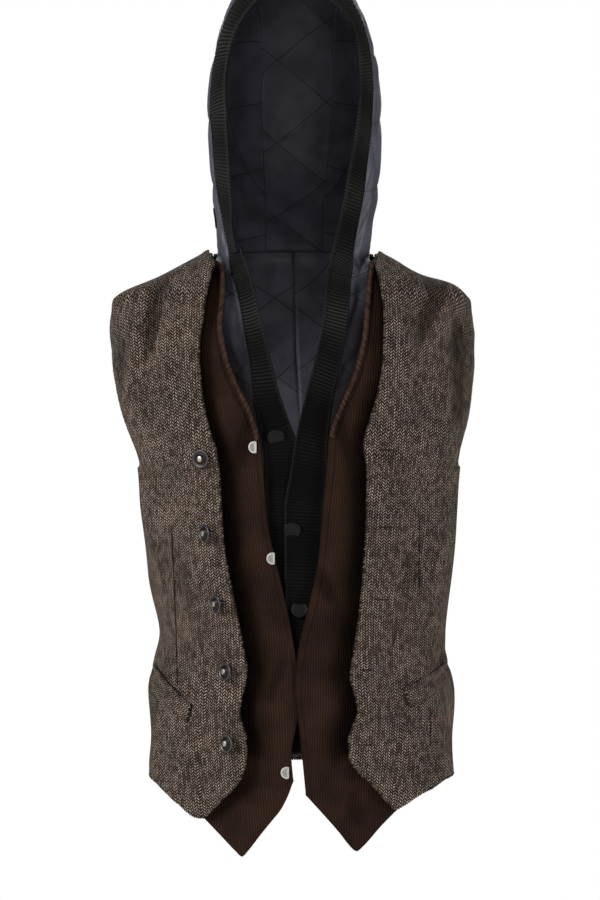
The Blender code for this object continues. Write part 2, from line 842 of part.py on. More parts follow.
def stud(name, point, normal):
    """A press stud: a disc with its front side cut straight, in levels drawn in from the rim."""
    axis = normal.normalized()
    up = Vector((0, 0, 1))
    up = (up - axis * up.dot(axis)).normalized()
    side = up.cross(axis)
    side = side if side.x > 0 else -side
    opening = math.acos(STUD_CUT / STUD_RADIUS)
    vertices = []
    for height, inset in STUD_LEVELS:
        for k in range(STUD_STEPS + 1):
            turn = opening + (2 * math.pi - 2 * opening) * k / STUD_STEPS
            x = math.cos(turn) * (STUD_RADIUS - inset)
            x = min(x, STUD_CUT - inset)
            z = math.sin(turn) * (STUD_RADIUS - inset)
            vertices.append(point + side * x + up * z + axis * (height + BUTTON_STAND))
    count = STUD_STEPS + 1
    top = (len(STUD_LEVELS) - 1) * count
    faces = [list(range(count)), list(range(top, top + count))[::-1]]
    for level in range(len(STUD_LEVELS) - 1):
        for k in range(count):
            m = (k + 1) % count
            base = level * count
            faces.append([base + m, base + k, base + count + k, base + count + m])
    return finish(name, "silver", vertices, faces)


def tab(panel):
    """A plain tab lying on the hood's right side."""
    thick, deep, tall = TAB_SIZE
    corners = []
    for out in (SEAM_GAP, SEAM_GAP + thick):
        for j in (-0.5, 0.5):
            for k in (-0.5, 0.5):
                start = (-400, TAB_PLACE[0] + deep * j, TAB_PLACE[1] + tall * k)
                point, _ = panel.hit(start, (1, 0, 0))
                corners.append(point + Vector((-out, 0, 0)))
    faces = [(0, 1, 3, 2), (4, 6, 7, 5), (0, 4, 5, 1), (2, 3, 7, 6), (0, 2, 6, 4), (1, 5, 7, 3)]
    finish("hood_tab", "rib_knit", corners, faces)


# ================================================================ build

def backs(name, finish_name, side_hem, lift, thickness):
    """The two halves of a back, joined at the centre seam."""
    grid = back_panel(side_hem)
    middle = grid.shape[1] // 2
    cloth(f"{name}_left", finish_name, grid[:, :middle + 1], lift, thickness, ("left", "right", "top"))
    cloth(f"{name}_right", finish_name, grid[:, middle:], lift, thickness, ("left", "right", "top"))


def build_outer_layers():
    """Corduroy and tweed, with what is sewn on them."""
    for name, side, edge, hem, lift in (
        ("right", -1, CORD_EDGE_RIGHT, CORD_HEM_RIGHT, lift_cord_right),
        ("left", 1, CORD_EDGE_LEFT, CORD_HEM_LEFT, lift_cord_left),
    ):
        grid = front_panel(side, edge, CORD_NECK_STEP, hem, CORD_SIDE_HEM, lift, CORD_WALL)
        grid = with_edge_column(grid, BINDING_WIDTH)
        grid = cloth(f"cord_front_{name}", "corduroy", grid, lift, CORD_WALL, ("right", "top"))
        foot = next(k for k, row in enumerate(grid) if row[0][2] > BINDING_FOOT)
        binding(f"cord_binding_{name}", "corduroy", grid[foot:-2], lift, CORD_WALL)
        if side < 0:
            panel = Panel(raised(grid, lift, CORD_WALL))
            for k, (x, z) in enumerate(CORD_STUDS, 1):
                stud(f"cord_stud_{k}", *panel.seat(x, z))

    for name, side, edge, hem, lift, corners in (
        ("right", -1, TWEED_EDGE_RIGHT, TWEED_HEM_RIGHT, lift_tweed_right, WELT_RIGHT),
        ("left", 1, TWEED_EDGE_LEFT, TWEED_HEM_LEFT, lift_tweed_left, WELT_LEFT),
    ):
        grid = front_panel(side, edge, TWEED_NECK_STEP, hem, TWEED_SIDE_HEM, lift, TWEED_WALL)
        grid = cloth(f"tweed_front_{name}", "tweed", grid, lift, TWEED_WALL, ("right", "top"))
        panel = Panel(raised(grid, lift, TWEED_WALL))
        welt(f"tweed_welt_{name}", corners, panel)
        if side < 0:
            for k, (x, z) in enumerate(TWEED_BUTTONS, 1):
                turned(f"tweed_button_{k}", "gunmetal", TWEED_BUTTON, 14, *panel.seat(x, z))

    backs("tweed_back", "tweed", TWEED_SIDE_HEM, lift_tweed_back, TWEED_WALL)


def build_hooded_layer():
    """Trim, nylon vest and hood."""
    all_seams = ("left", "right", "bottom", "top")
    band = trim_grid(face_edge_points(), lambda p: p[0] + 3, -1)
    trim_walls("rib_hood_band", band, lambda p: p[0] + 3, 0, ("right", "bottom", "top"))
    face = band[:, 2]
    for name, side in (("right", -1), ("left", 1)):
        run = face[:GUSSET_FROM + 1] if side < 0 else face[::-1][:GUSSET_FROM + 1]
        neck = build_nylon_front(name, side, run[0])
        grid = hood_side_panel(side, run, neck)
        grid = cloth(f"hood_side_{name}", "nylon", grid, lift_none, NYLON_WALL, all_seams, HOOD_SEAM_GAP)
        if side < 0:
            tab(Panel(raised(grid, lift_none, NYLON_WALL)))
    gusset = gusset_panel(face[GUSSET_FROM:len(face) - GUSSET_FROM])
    cloth("hood_gusset", "nylon", gusset, lift_none, NYLON_WALL, all_seams)
    backs("nylon_back", "nylon", NYLON_SIDE_HEM, lift_none, NYLON_WALL)


def build_nylon_front(name, side, corner):
    """One inner front and the trim down its edge; corner is the trim's back edge at the neck seam."""
    shares = row_shares(NYLON_SIDE_HEM)
    top_row = V_ROWS[-1][0]
    column = 1 if side < 0 else 2
    edge = []
    for k in range(top_row + 1):
        z = float(np.interp(k, [row[0] for row in V_ROWS], [row[1] for row in V_ROWS]))
        edge.append(in_front(through(V_EDGE, column, z), z))
    trim = trim_grid(edge, lambda p: side, side)
    trim[-1][2] = corner
    trim[-1][1] = on_form((trim[-1][0] + corner) / 2)
    outer = trim_walls(f"rib_front_{name}", trim, lambda p: side, 1 if side > 0 else 0, ("right", "top"))

    above = len(shares) - 1 - top_row
    ahead = neck_ahead(side, corner)
    neck = [ahead(k / above) for k in range(above + 1)]
    line = list(trim[:, 2]) + neck[1:]

    def edge_of(v):
        return line[min(range(len(shares)), key=lambda k: abs(shares[k] - v))]

    low, out = spot(line[0]), np.array([side * 90.0, NYLON_SIDE_HEM])
    grid = patch(
        edge_of, side_edge(side, 1, NYLON_SIDE_HEM), lambda u: place(*(low + (out - low) * u)),
        shoulder_seam(side), FRONT_COLUMNS, shares,
    )
    cloth(f"nylon_front_{name}", "nylon", grid, lift_none, NYLON_WALL, ("left", "right", "top"))
    panel = Panel(outer)
    for k, (x, z) in enumerate(INNER_BUTTONS, 1):
        if (side < 0) == (z > V_EDGE[3][0]):
            turned(f"inner_button_{k}", "black_button", INNER_BUTTON, 12, *panel.seat(x, z))
    return neck


for old in list(bpy.data.objects):
    bpy.data.objects.remove(old)
build_outer_layers()
build_hooded_layer()
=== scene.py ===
# %% [markdown]
# # A hooded vest in three layers
#
# The real garment is three vests sewn together at the shoulders and side seams: an open tweed vest
# on the outside, a pair of corduroy fronts under it, and a closed inner vest of quilted nylon with a
# hood. This lesson dresses the plain solids of that vest in fine cloth. Every panel is a grid of
# points worked out from a few named sizes, and what repeats, such as overcast edges, ridges and
# stitches, is laid by Geometry Nodes.

# %% Load the plain solids
import math

import bpy
import numpy as np
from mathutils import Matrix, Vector
from mathutils.bvhtree import BVHTree


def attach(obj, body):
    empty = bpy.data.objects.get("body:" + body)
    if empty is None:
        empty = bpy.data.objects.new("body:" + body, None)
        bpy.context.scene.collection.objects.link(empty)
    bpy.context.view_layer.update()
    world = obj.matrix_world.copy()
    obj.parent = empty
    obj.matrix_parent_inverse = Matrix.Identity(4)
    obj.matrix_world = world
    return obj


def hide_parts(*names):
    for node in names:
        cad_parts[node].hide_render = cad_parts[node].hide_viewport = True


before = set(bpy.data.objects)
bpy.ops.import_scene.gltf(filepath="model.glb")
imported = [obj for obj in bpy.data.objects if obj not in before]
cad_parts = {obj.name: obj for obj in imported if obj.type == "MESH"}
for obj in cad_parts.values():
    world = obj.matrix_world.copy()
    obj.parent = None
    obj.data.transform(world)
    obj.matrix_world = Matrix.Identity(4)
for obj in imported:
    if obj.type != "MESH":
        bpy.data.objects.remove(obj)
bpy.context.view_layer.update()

# %% [markdown]
# ## The form inside the cloth
#
# A filled-out vest has no flat place on it, so it is easiest to think of a tailor's form: at each
# height the form's outline is a rounded rectangle with a half width, a depth in front and a depth
# behind. One short table holds them, and a smooth curve runs through its rows. Each layer of cloth
# is then the form moved outwards by its lift. All lengths are millimetres until a mesh is made.

# %% Sizes of the form and the layers
MM = 0.001
SIDES = {"right": -1, "left": 1}
SQUARENESS = 2.5
WIDEST_HOOD, CROWN, HOOD_CENTRE_Y = 147.0, 335.0, 20.0
#  height, half width, depth in front, depth behind, sideways shift
FORM = (
    (-700, 156, 110, 112, 5), (-600, 158, 114, 115, 5), (-548, 157, 113, 112, 5), (-497, 159, 110, 107, 5),
    (-463, 153, 107, 102, 5), (-429, 148, 106, 98, 6), (-362, 158, 110, 104, 4), (-294, 164, 115, 112, 3),
    (-243, 168, 118, 118, 2), (-226, 175, 119, 119, 1), (-209, 184, 119, 120, 0), (-192, 192, 118, 120, -1),
    (-158, 203, 114, 119, -3), (-124, 208, 107, 116, -4), (-100, 207, 100, 111, -5), (-83, 202, 94, 106, -6),
    (-66, 193, 88, 101, -6), (-43, 142, 76, 94, -6), (-21, 94, 64, 86, -5), (-8, 84, 58, 81, -4),
    (30, 85, 66, 94, -3), (60, 90, 76, 112, -2), (100, 93, 86, 130, -2), (WIDEST_HOOD, 95, 92, 138, -3),
)
SEAM_GAP = 0.3
NYLON_WALL, RIB_WALL, CORD_WALL, TWEED_WALL = 2.0, 2.4, 1.6, 2.0
CORD_SEAM_LIFT = NYLON_WALL + SEAM_GAP
TWEED_SEAM_LIFT = CORD_SEAM_LIFT + CORD_WALL + SEAM_GAP
CORD_LOOSE, TWEED_LOOSE, TWEED_BACK_LOOSE, LOOSE_REACH = 7.0, 12.0, 2.0, 60.0
LAP_LIFT, LAP_TOP, LAP_REACH, LAP_WIDTH = 3.0, -185.0, 25.0, 60
SHOULDER_TIP, NECK_SIDE, NAPE, NECK_FRONT, UNDERARM = -66.0, -5.0, 3.0, -31.0, -243.0
SHOULDER_ROWS = (-83.0, -74.0)
#  height, how far the armhole edge lies in front of the seams, and behind them
ARMHOLE = (
    (UNDERARM, 0, 0), (-238, 13, 15), (-222, 29, 33), (-195, 42, 48), (-155, 50, 55),
    (-122, 48, 52), (-98, 40, 43), (-83, 30, 32), (-74, 20, 21), (SHOULDER_TIP, 0, 0),
)


# %% Smooth curves through short tables
def through(rows, column, at):
    """The values of a table's column at many places, on a smooth curve that doesn't overshoot."""
    table = np.array(rows, float)
    xs, ys = table[:, 0], table[:, column]
    steps = np.diff(xs)
    rises = np.diff(ys) / steps
    slopes = np.zeros(len(xs))
    slopes[0], slopes[-1] = rises[0], rises[-1]
    before, after = rises[:-1], rises[1:]
    weights = 2 * steps[1:] + steps[:-1], steps[1:] + 2 * steps[:-1]
    with np.errstate(divide="ignore", invalid="ignore"):
        inner = (weights[0] + weights[1]) / (weights[0] / before + weights[1] / after)
    slopes[1:-1] = np.where(before * after > 0, inner, 0)
    at = np.clip(np.asarray(at, float), xs[0], xs[-1])
    k = np.clip(np.searchsorted(xs, at, side="right") - 1, 0, len(xs) - 2)
    t = (at - xs[k]) / steps[k]
    return (
        (1 + 2 * t) * (1 - t) ** 2 * ys[k] + t * (1 - t) ** 2 * steps[k] * slopes[k]
        + t * t * (3 - 2 * t) * ys[k + 1] - t * t * (1 - t) * steps[k] * slopes[k + 1]
    )


def run_along(points, axis=0):
    """The length run from the first point on, along one axis of a grid of points."""
    steps = np.linalg.norm(np.diff(points, axis=axis), axis=-1)
    start = np.zeros_like(np.take(steps, [0], axis=axis))
    return np.concatenate([start, np.cumsum(steps, axis=axis)], axis=axis)


def along(points, share):
    """Places on the smooth curve through points, by their share of the straight runs' length."""
    points = np.array(points, float)
    lengths = run_along(points)
    at = np.asarray(share, float) * lengths[-1]
    k = np.clip(np.searchsorted(lengths, at + 1e-9, side="right") - 1, 0, len(points) - 2)
    t = ((at - lengths[k]) / (lengths[k + 1] - lengths[k]))[..., None]
    before, a = points[np.maximum(k - 1, 0)], points[k]
    b, after = points[k + 1], points[np.minimum(k + 2, len(points) - 1)]
    return 0.5 * (
        2 * a + (b - before) * t + (2 * before - 5 * a + 4 * b - after) * t ** 2
        + (3 * a - before - 3 * b + after) * t ** 3
    )


def eased(t):
    t = np.clip(t, 0, 1)
    return t * t * (3 - 2 * t)


def unit(vectors):
    return vectors / np.linalg.norm(vectors, axis=-1, keepdims=True)


# %% The form as functions of many points at once
FORM_HEIGHTS = np.arange(FORM[0][0], WIDEST_HOOD + 0.25, 0.5)
FORM_COLUMNS = [through(FORM, column, FORM_HEIGHTS) for column in (1, 2, 3, 4)]


def section(height):
    """Half width, depth in front, depth behind and shift of the form; a dome closes the hood."""
    half, front, behind, shift = (np.interp(height, FORM_HEIGHTS, column) for column in FORM_COLUMNS)
    above = np.maximum(height - WIDEST_HOOD, 0) / (CROWN - WIDEST_HOOD)
    dome = np.sqrt(np.maximum(1 - above ** 2, 1e-4))
    return half * dome, front * dome, behind * dome, shift


def gauge(p):
    """1 on the form, less inside it."""
    half, front, behind, shift = section(np.minimum(p[..., 2], WIDEST_HOOD))
    depth = np.where(p[..., 1] < 0, front, behind)
    reach = np.abs((p[..., 0] - shift) / half) ** SQUARENESS + np.abs(p[..., 1] / depth) ** SQUARENESS
    above = np.maximum(p[..., 2] - WIDEST_HOOD, 0) / (CROWN - WIDEST_HOOD)
    return np.hypot(reach ** (1 / SQUARENESS), above)


def steepest(p):
    step = 0.5 * np.eye(3)
    return np.stack([gauge(p + step[k]) - gauge(p - step[k]) for k in range(3)], axis=-1)


def outward(p):
    return unit(steepest(p))


def raised(grid, amount):
    """The grid's points moved outwards."""
    return grid + outward(grid) * np.asarray(amount)[..., None]


NEAREST_ROUNDS, SHOWING_ROUNDS, SHOWING_STEP = 4, 12, 0.8


def on_form(p):
    """The points of the form nearest to p."""
    for _ in range(NEAREST_ROUNDS):
        way = steepest(p)
        p = p - way * ((gauge(p) - 1) / np.sum(way * way, axis=-1))[..., None]
    return p


def place(bearing, height):
    """The form's points at a bearing, in degrees from the centre front, and a height."""
    half, front, behind, shift = section(height)
    turn = np.radians(bearing)
    depth = np.where(np.cos(turn) > 0, front, behind)
    reach = np.abs(np.sin(turn) / half) ** SQUARENESS + np.abs(np.cos(turn) / depth) ** SQUARENESS
    reach = reach ** (-1 / SQUARENESS)
    return np.stack([shift + reach * np.sin(turn), -reach * np.cos(turn), height + 0 * turn], axis=-1)


def spot(p):
    """The bearing and height of points."""
    shift = section(p[..., 2])[3]
    return np.stack([np.degrees(np.arctan2(p[..., 0] - shift, -p[..., 1])), p[..., 2]], axis=-1)


def facing(x, height, ahead=True):
    """The form's points straight behind places seen from the front, or from behind."""
    half, front, behind, shift = section(height)
    part = np.clip((x - shift) / half, -1, 1)
    away = (1 - np.abs(part) ** SQUARENESS) ** (1 / SQUARENESS)
    y = -front * away if ahead else behind * away
    return np.stack([shift + part * half, y, height + 0 * part], axis=-1)


def showing_at(x, height, lift, thickness=0.0):
    """The form's points that show at x and height once they are raised by their layer."""
    seen = np.stack([x, height + 0 * x], axis=-1)
    at = seen.copy()
    for _ in range(SHOWING_ROUNDS):
        p = facing(at[..., 0], at[..., 1])
        q = raised(p, lift(p) + thickness)
        at = p[..., [0, 2]] + SHOWING_STEP * (seen - q[..., [0, 2]])
    return facing(at[..., 0], at[..., 1])


def at_armhole(side, front, height):
    """The armhole edge, or the side seam below it; front is 1 before the seam and -1 behind it."""
    half, ahead, behind, shift = section(height)
    away = through(ARMHOLE, 1 if front > 0 else 2, height)
    depth = ahead if front > 0 else behind
    x = half * (1 - (away / depth) ** SQUARENESS) ** (1 / SQUARENESS)
    return np.stack([shift + side * x, -front * away, height], axis=-1)


print("form at the chest:", [round(float(v)) for v in section(UNDERARM)])


# %% How far each layer lies out
def looseness(p):
    """0 at the seams and armholes, 1 where the layers hang free."""
    edge = np.where(p[..., 1] < 0, through(ARMHOLE, 1, p[..., 2]), through(ARMHOLE, 2, p[..., 2]))
    t = np.clip((np.abs(p[..., 1]) - edge) / LOOSE_REACH, 0, 1)
    return t * (2 - t)


STAND_REACH = 30.0


def edge_stand(p, edge_rows, stand_rows):
    """The free front edge turns out towards the viewer."""
    distance = np.abs(p[..., 0] - through(edge_rows, 1, p[..., 2])) / STAND_REACH
    return through(stand_rows, 1, p[..., 2]) * np.exp(-distance * distance)


# %% [markdown]
# ## A panel as a patch between its four edges
#
# A cloth panel is cut along its outline, so the outline is what the tables give: the free edge, the
# hem, the side with its armhole, and the shoulder seam. A patch fills the space between the four
# curves, and each of its points is then dropped on the form. This keeps the rows of neighbouring
# panels together, which a subdivided box would not.

# %% Patches of cloth
def patch(left, right, bottom, top, u, v):
    """Points of the form between four edges; u and v hold how far across and up each point lies."""
    u, v = u[None, :, None], v[:, None, None]
    grid = (1 - u) * left[:, None] + u * right[:, None] + (1 - v) * bottom[None] + v * top[None]
    grid = grid - (1 - v) * ((1 - u) * left[0] + u * right[0])
    grid = on_form(grid - v * ((1 - u) * left[-1] + u * right[-1]))
    grid[:, 0], grid[:, -1], grid[0], grid[-1] = left, right, bottom, top
    return grid


def even_steps(spacing, *curves):
    """Shares from 0 to 1 that leave at most about spacing between places on any of the curves."""
    dense = np.linspace(0, 1, 600)
    runs = [np.linalg.norm(np.diff(curve(dense), axis=0), axis=1) for curve in curves]
    run = np.concatenate([[0], np.cumsum(np.max(runs, axis=0))])
    return np.interp(np.linspace(0, run[-1], int(run[-1] / spacing) + 2), run, dense)


def evened(grid, rounds):
    """The grid with its inner points spread more evenly over the form."""
    grid = grid.copy()
    for _ in range(rounds):
        inner = (grid[:-2, 1:-1] + grid[2:, 1:-1] + grid[1:-1, :-2] + grid[1:-1, 2:]) / 4
        grid[1:-1, 1:-1] = on_form(inner)
    return grid


def panel_grid(curves, spacing, rounds=0):
    """The points of the form of a panel whose edges are left, right, bottom and top curves."""
    left, right, bottom, top = curves
    v, u = even_steps(spacing, left, right), even_steps(spacing, bottom, top)
    return evened(patch(left(v), right(v), bottom(u), top(u), u, v), rounds)


EDGES = {
    "left": ((slice(None), 0), (slice(None), 1)), "right": ((slice(None), -1), (slice(None), -2)),
    "bottom": ((0, slice(None)), (1, slice(None))), "top": ((-1, slice(None)), (-2, slice(None))),
}


def drawn_in(grid, *seams):
    """Moves the edges named in seams back from the neighbour by half the gap."""
    grid = grid.copy()
    for seam in seams:
        edge, inside = EDGES[seam]
        grid[edge] += unit(grid[inside] - grid[edge]) * SEAM_GAP / 2
    return grid


def shoulder_seam(side):
    return lambda u: place(side * 90.0 + 0 * u, NECK_SIDE + (SHOULDER_TIP - NECK_SIDE) * u)


def side_edge(side, front, hem):
    return lambda v: at_armhole(side, front, hem + v * (SHOULDER_TIP - hem))


# %% [markdown]
# ## The flat cut of each panel
#
# Woven cloth barely stretches, so its pattern keeps one scale wherever the cloth bends. Blender's
# least-stretch unwrap lays a panel flat again, which gives two things at once: texture coordinates
# in real millimetres with the grain upright, and the size of the piece of cloth that was cut.

# %% Meshes from grids
def linked(name, data):
    """A new object of the scene."""
    made = bpy.data.objects.new(name, data)
    bpy.context.scene.collection.objects.link(made)
    return made


def quads_of(rows, columns, first=0):
    index = np.arange(first, first + rows * columns).reshape(rows, columns)
    return np.stack([index[:-1, :-1], index[:-1, 1:], index[1:, 1:], index[1:, :-1]], axis=-1).reshape(-1, 4)


def mesh_of(name, points, quads):
    """A mesh in metres from points in millimetres and faces of four corners."""
    mesh = bpy.data.meshes.new(name)
    mesh.vertices.add(len(points))
    mesh.vertices.foreach_set("co", (points * MM).astype(np.float32).ravel())
    mesh.loops.add(quads.size)
    mesh.loops.foreach_set("vertex_index", quads.astype(np.int32).ravel())
    mesh.polygons.add(len(quads))
    mesh.polygons.foreach_set("loop_start", np.arange(0, quads.size, 4, dtype=np.int32))
    mesh.update(calc_edges=True)
    return mesh


# %% Lay a grid flat
USUAL_STEP, FEWEST_LINES = 2.7, 6


def unwrapped(coarse):
    """Flat coordinates of a grid from Blender's least-stretch unwrap, at no particular size or turn."""
    mesh = mesh_of("laid_flat", coarse.reshape(-1, 3), quads_of(*coarse.shape[:2]))
    helper = linked("laid_flat", mesh)
    bpy.context.view_layer.objects.active = helper
    helper.select_set(True)
    bpy.ops.object.mode_set(mode="EDIT")
    bpy.ops.mesh.select_all(action="SELECT")
    bpy.ops.uv.unwrap(method="MINIMUM_STRETCH", correct_aspect=False, margin=0.0)
    bpy.ops.object.mode_set(mode="OBJECT")
    corners = np.empty(len(mesh.loops) * 2, np.float32)
    mesh.uv_layers.active.data.foreach_get("uv", corners)
    vertex = np.empty(len(mesh.loops), np.int32)
    mesh.loops.foreach_get("vertex_index", vertex)
    flat = np.zeros((len(mesh.vertices), 2))
    flat[vertex] = corners.reshape(-1, 2)
    bpy.data.objects.remove(helper)
    bpy.data.meshes.remove(mesh)
    return flat.reshape(coarse.shape[:2] + (2,))


def laid_flat(grid, spacing=9.0):
    """Flat coordinates of a grid in millimetres, grain upright, from a coarser copy of it."""
    rows, columns = (
        np.unique(np.linspace(0, n - 1, max(FEWEST_LINES, int(n * USUAL_STEP / spacing))).round()).astype(int)
        for n in grid.shape[:2]
    )
    coarse = grid[np.ix_(rows, columns)]
    flat = unwrapped(coarse)
    size, real = (
        sum(np.linalg.norm(np.diff(points, axis=k), axis=-1).sum() for k in (0, 1)) for points in (flat, coarse)
    )
    flat = flat * (real / size)
    up = (coarse[1:, :, 2] - coarse[:-1, :, 2])[..., None]
    grain = unit(((flat[1:] - flat[:-1]) * up).sum(axis=(0, 1)))
    flat = np.stack([flat @ np.array([grain[1], -grain[0]]), flat @ grain], axis=-1)
    across, upward = flat[0, -1] - flat[0, 0], flat[-1, 0] - flat[0, 0]
    if across[0] * upward[1] - across[1] * upward[0] < 0:
        flat[..., 0] *= -1
    fine = np.empty(grid.shape[:2] + (2,))
    for k in (0, 1):
        part = np.array([np.interp(np.arange(grid.shape[1]), columns, row) for row in flat[..., k]])
        fine[..., k] = np.array([np.interp(np.arange(grid.shape[0]), rows, line) for line in part.T]).T
    return fine - fine.reshape(-1, 2).min(axis=0)


def flat_area(flat):
    a, b, c, d = flat[:-1, :-1], flat[:-1, 1:], flat[1:, 1:], flat[1:, :-1]
    first, second = c - a, d - b
    return float(np.abs(first[..., 0] * second[..., 1] - first[..., 1] * second[..., 0]).sum() / 2)


# %% [markdown]
# ## Shader tools
#
# Five small effects are shared by the cloths: a herringbone of slanted dashes, rounded cords side by
# side, a fuzz of fibres, slow patches of shade, and the crossing lines of quilting. Each is a shader
# node group that puts out masks only; the Principled shader stays in the material, where its own
# sheen and roughness are set.

# %% Short ways to build node trees
class Net:
    """A node tree, with short ways to add nodes to it."""

    def __init__(self, tree):
        self.tree = tree

    def plug(self, socket, value):
        """Gives a socket a link or a fixed value."""
        if isinstance(value, bpy.types.NodeSocket):
            self.tree.links.new(value, socket)
        else:
            socket.default_value = value

    def put(self, kind, settings=None, **sockets):
        """The outputs of a new node; a socket named by its number starts with an s."""
        node = self.tree.nodes.new(kind)
        for key, value in (settings or {}).items():
            setattr(node, key, value)
        for key, value in sockets.items():
            number = key[1:].isdigit()
            self.plug(node.inputs[int(key[1:]) if number else key.replace("_", " ")], value)
        return node.outputs

    def math(self, operation, *values):
        sockets = {f"s{k}": value for k, value in enumerate(values)}
        return self.put("ShaderNodeMath", {"operation": operation}, **sockets)[0]

    def step(self, value, low, high, out_low=0.0, out_high=1.0):
        """A soft step of value from low to high."""
        return self.put("ShaderNodeMapRange", {"interpolation_type": "SMOOTHSTEP"}, Value=value,
                        From_Min=low, From_Max=high, To_Min=out_low, To_Max=out_high)[0]

    def mix(self, share, a, b, kind="MIX"):
        """A colour between a and b."""
        return self.put("ShaderNodeMix", {"data_type": "RGBA", "blend_type": kind}, s0=share, s6=a, s7=b)[2]

    def group(self, effect_net, **sockets):
        return self.put("ShaderNodeGroup", {"node_tree": effect_net.tree}, **sockets)

    def declare(self, label, kind, value=None, way="INPUT"):
        """Adds a named socket to the tree's interface."""
        socket = self.tree.interface.new_socket(name=label, in_out=way, socket_type=kind)
        if value is not None:
            socket.default_value = value

    def ends(self):
        return self.tree.nodes.new("NodeGroupInput").outputs, self.tree.nodes.new("NodeGroupOutput").inputs


VECTOR, NUMBER = "NodeSocketVector", "NodeSocketFloat"


def effect(name, inputs, outputs):
    """An empty shader node group with named number sockets."""
    net = Net(bpy.data.node_groups.new(name, "ShaderNodeTree"))
    for row in inputs:
        net.declare(*row)
    for label in outputs:
        net.declare(label, NUMBER, way="OUTPUT")
    return net, *net.ends()


def srgb(red, green, blue):
    """A colour named by its 0 to 255 screen values."""
    parts = [v / 255 for v in (red, green, blue)]
    return tuple(p / 12.92 if p <= 0.04045 else ((p + 0.055) / 1.055) ** 2.4 for p in parts) + (1.0,)


# %% The herringbone of the tweed
DRIFT, DASH_SLANT, COLUMN_STAGGER = 0.0016, 0.9, 0.35
herringbone, given, result = effect(
    "herringbone", (("Flat", VECTOR), ("Column", NUMBER, 0.0026), ("Pitch", NUMBER, 0.0032)),
    ("Thread", "Relief", "Fleck"),
)
work = herringbone.math
flat_at = herringbone.put("ShaderNodeSeparateXYZ", s0=given["Flat"])
drift = herringbone.put("ShaderNodeTexNoise", {"noise_dimensions": "2D"}, Vector=given["Flat"], Scale=55.0,
                        Detail=1.0)[0]
column_at = work("DIVIDE", work("MULTIPLY_ADD", drift, DRIFT, flat_at[0]), given["Column"])
column_number = work("FLOOR", column_at)
inside = work("SUBTRACT", column_at, column_number)
odd_column = work("FLOORED_MODULO", column_number, 2.0)
turned_way = work("ABSOLUTE", work("SUBTRACT", odd_column, inside))
climb = work("DIVIDE", flat_at[1], given["Pitch"])
climb = work("MULTIPLY_ADD", odd_column, COLUMN_STAGGER, climb)
phase = work("MULTIPLY_ADD", turned_way, DASH_SLANT, climb)
crest = work("ABSOLUTE", work("SUBTRACT", work("FRACT", phase), 0.5))
from_middle = work("ABSOLUTE", work("SUBTRACT", inside, 0.5))
relief = work("MULTIPLY", herringbone.step(crest, 0.25, 0.40), herringbone.step(from_middle, 0.28, 0.46, 1.0, 0.0))
dash_number = herringbone.put("ShaderNodeCombineXYZ", s0=column_number, s1=work("FLOOR", phase))[0]
chance = herringbone.put("ShaderNodeTexWhiteNoise", {"noise_dimensions": "2D"}, Vector=dash_number)[0]
herringbone.plug(result["Relief"], relief)
herringbone.plug(result["Thread"], work("MULTIPLY", relief, herringbone.step(chance, 0.0, 0.8, 0.35, 1.0)))
herringbone.plug(result["Fleck"], chance)

# %% Cords side by side, fuzz, patches and quilting lines
cords, given, result = effect(
    "cords side by side", (("Across", NUMBER, 0.0), ("Pitch", NUMBER, 0.0027), ("Sway", NUMBER, 0.0)), ("Ridge",),
)
cord_at = cords.math("DIVIDE", cords.math("ADD", given["Across"], given["Sway"]), given["Pitch"])
wave = cords.math("COSINE", cords.math("MULTIPLY", cord_at, 2 * math.pi))
cords.plug(result["Ridge"], cords.math("POWER", cords.math("MULTIPLY_ADD", wave, 0.5, 0.5), 0.6))

fuzz, given, result = effect(
    "fibre fuzz", (("Vector", VECTOR), ("Size", NUMBER, 0.001), ("Stretch", NUMBER, 1.0)), ("Fuzz", "Fine"),
)
drawn_out = fuzz.put("ShaderNodeCombineXYZ", s0=1.0, s1=given["Stretch"], s2=1.0)[0]
stretched = fuzz.put("ShaderNodeVectorMath", {"operation": "MULTIPLY"}, s0=given["Vector"], s1=drawn_out)[0]
scale = fuzz.math("DIVIDE", 1.0, given["Size"])
fibres = fuzz.put("ShaderNodeTexNoise", Vector=stretched, Scale=scale, Detail=3.0, Roughness=0.7)[0]
finer = fuzz.put("ShaderNodeTexNoise", Vector=stretched, Scale=fuzz.math("MULTIPLY", scale, 4.0), Detail=1.0)[0]
fuzz.plug(result["Fuzz"], fuzz.step(fibres, 0.3, 0.7))
fuzz.plug(result["Fine"], finer)

patches, given, result = effect("slow patches", (("Vector", VECTOR), ("Size", NUMBER, 0.05)), ("Light", "Warm"))
scale = patches.math("DIVIDE", 1.0, given["Size"])
wide = patches.put("ShaderNodeTexNoise", Vector=given["Vector"], Scale=scale, Detail=2.0)[0]
moved = patches.put("ShaderNodeVectorMath", {"operation": "ADD"}, s0=given["Vector"], s1=(3.1, 1.7, 5.3))[0]
scale = patches.math("DIVIDE", 1.6, given["Size"])
other = patches.put("ShaderNodeTexNoise", Vector=moved, Scale=scale, Detail=1.0)[0]
patches.plug(result["Light"], patches.step(wide, 0.3, 0.7))
patches.plug(result["Warm"], patches.step(other, 0.35, 0.65))

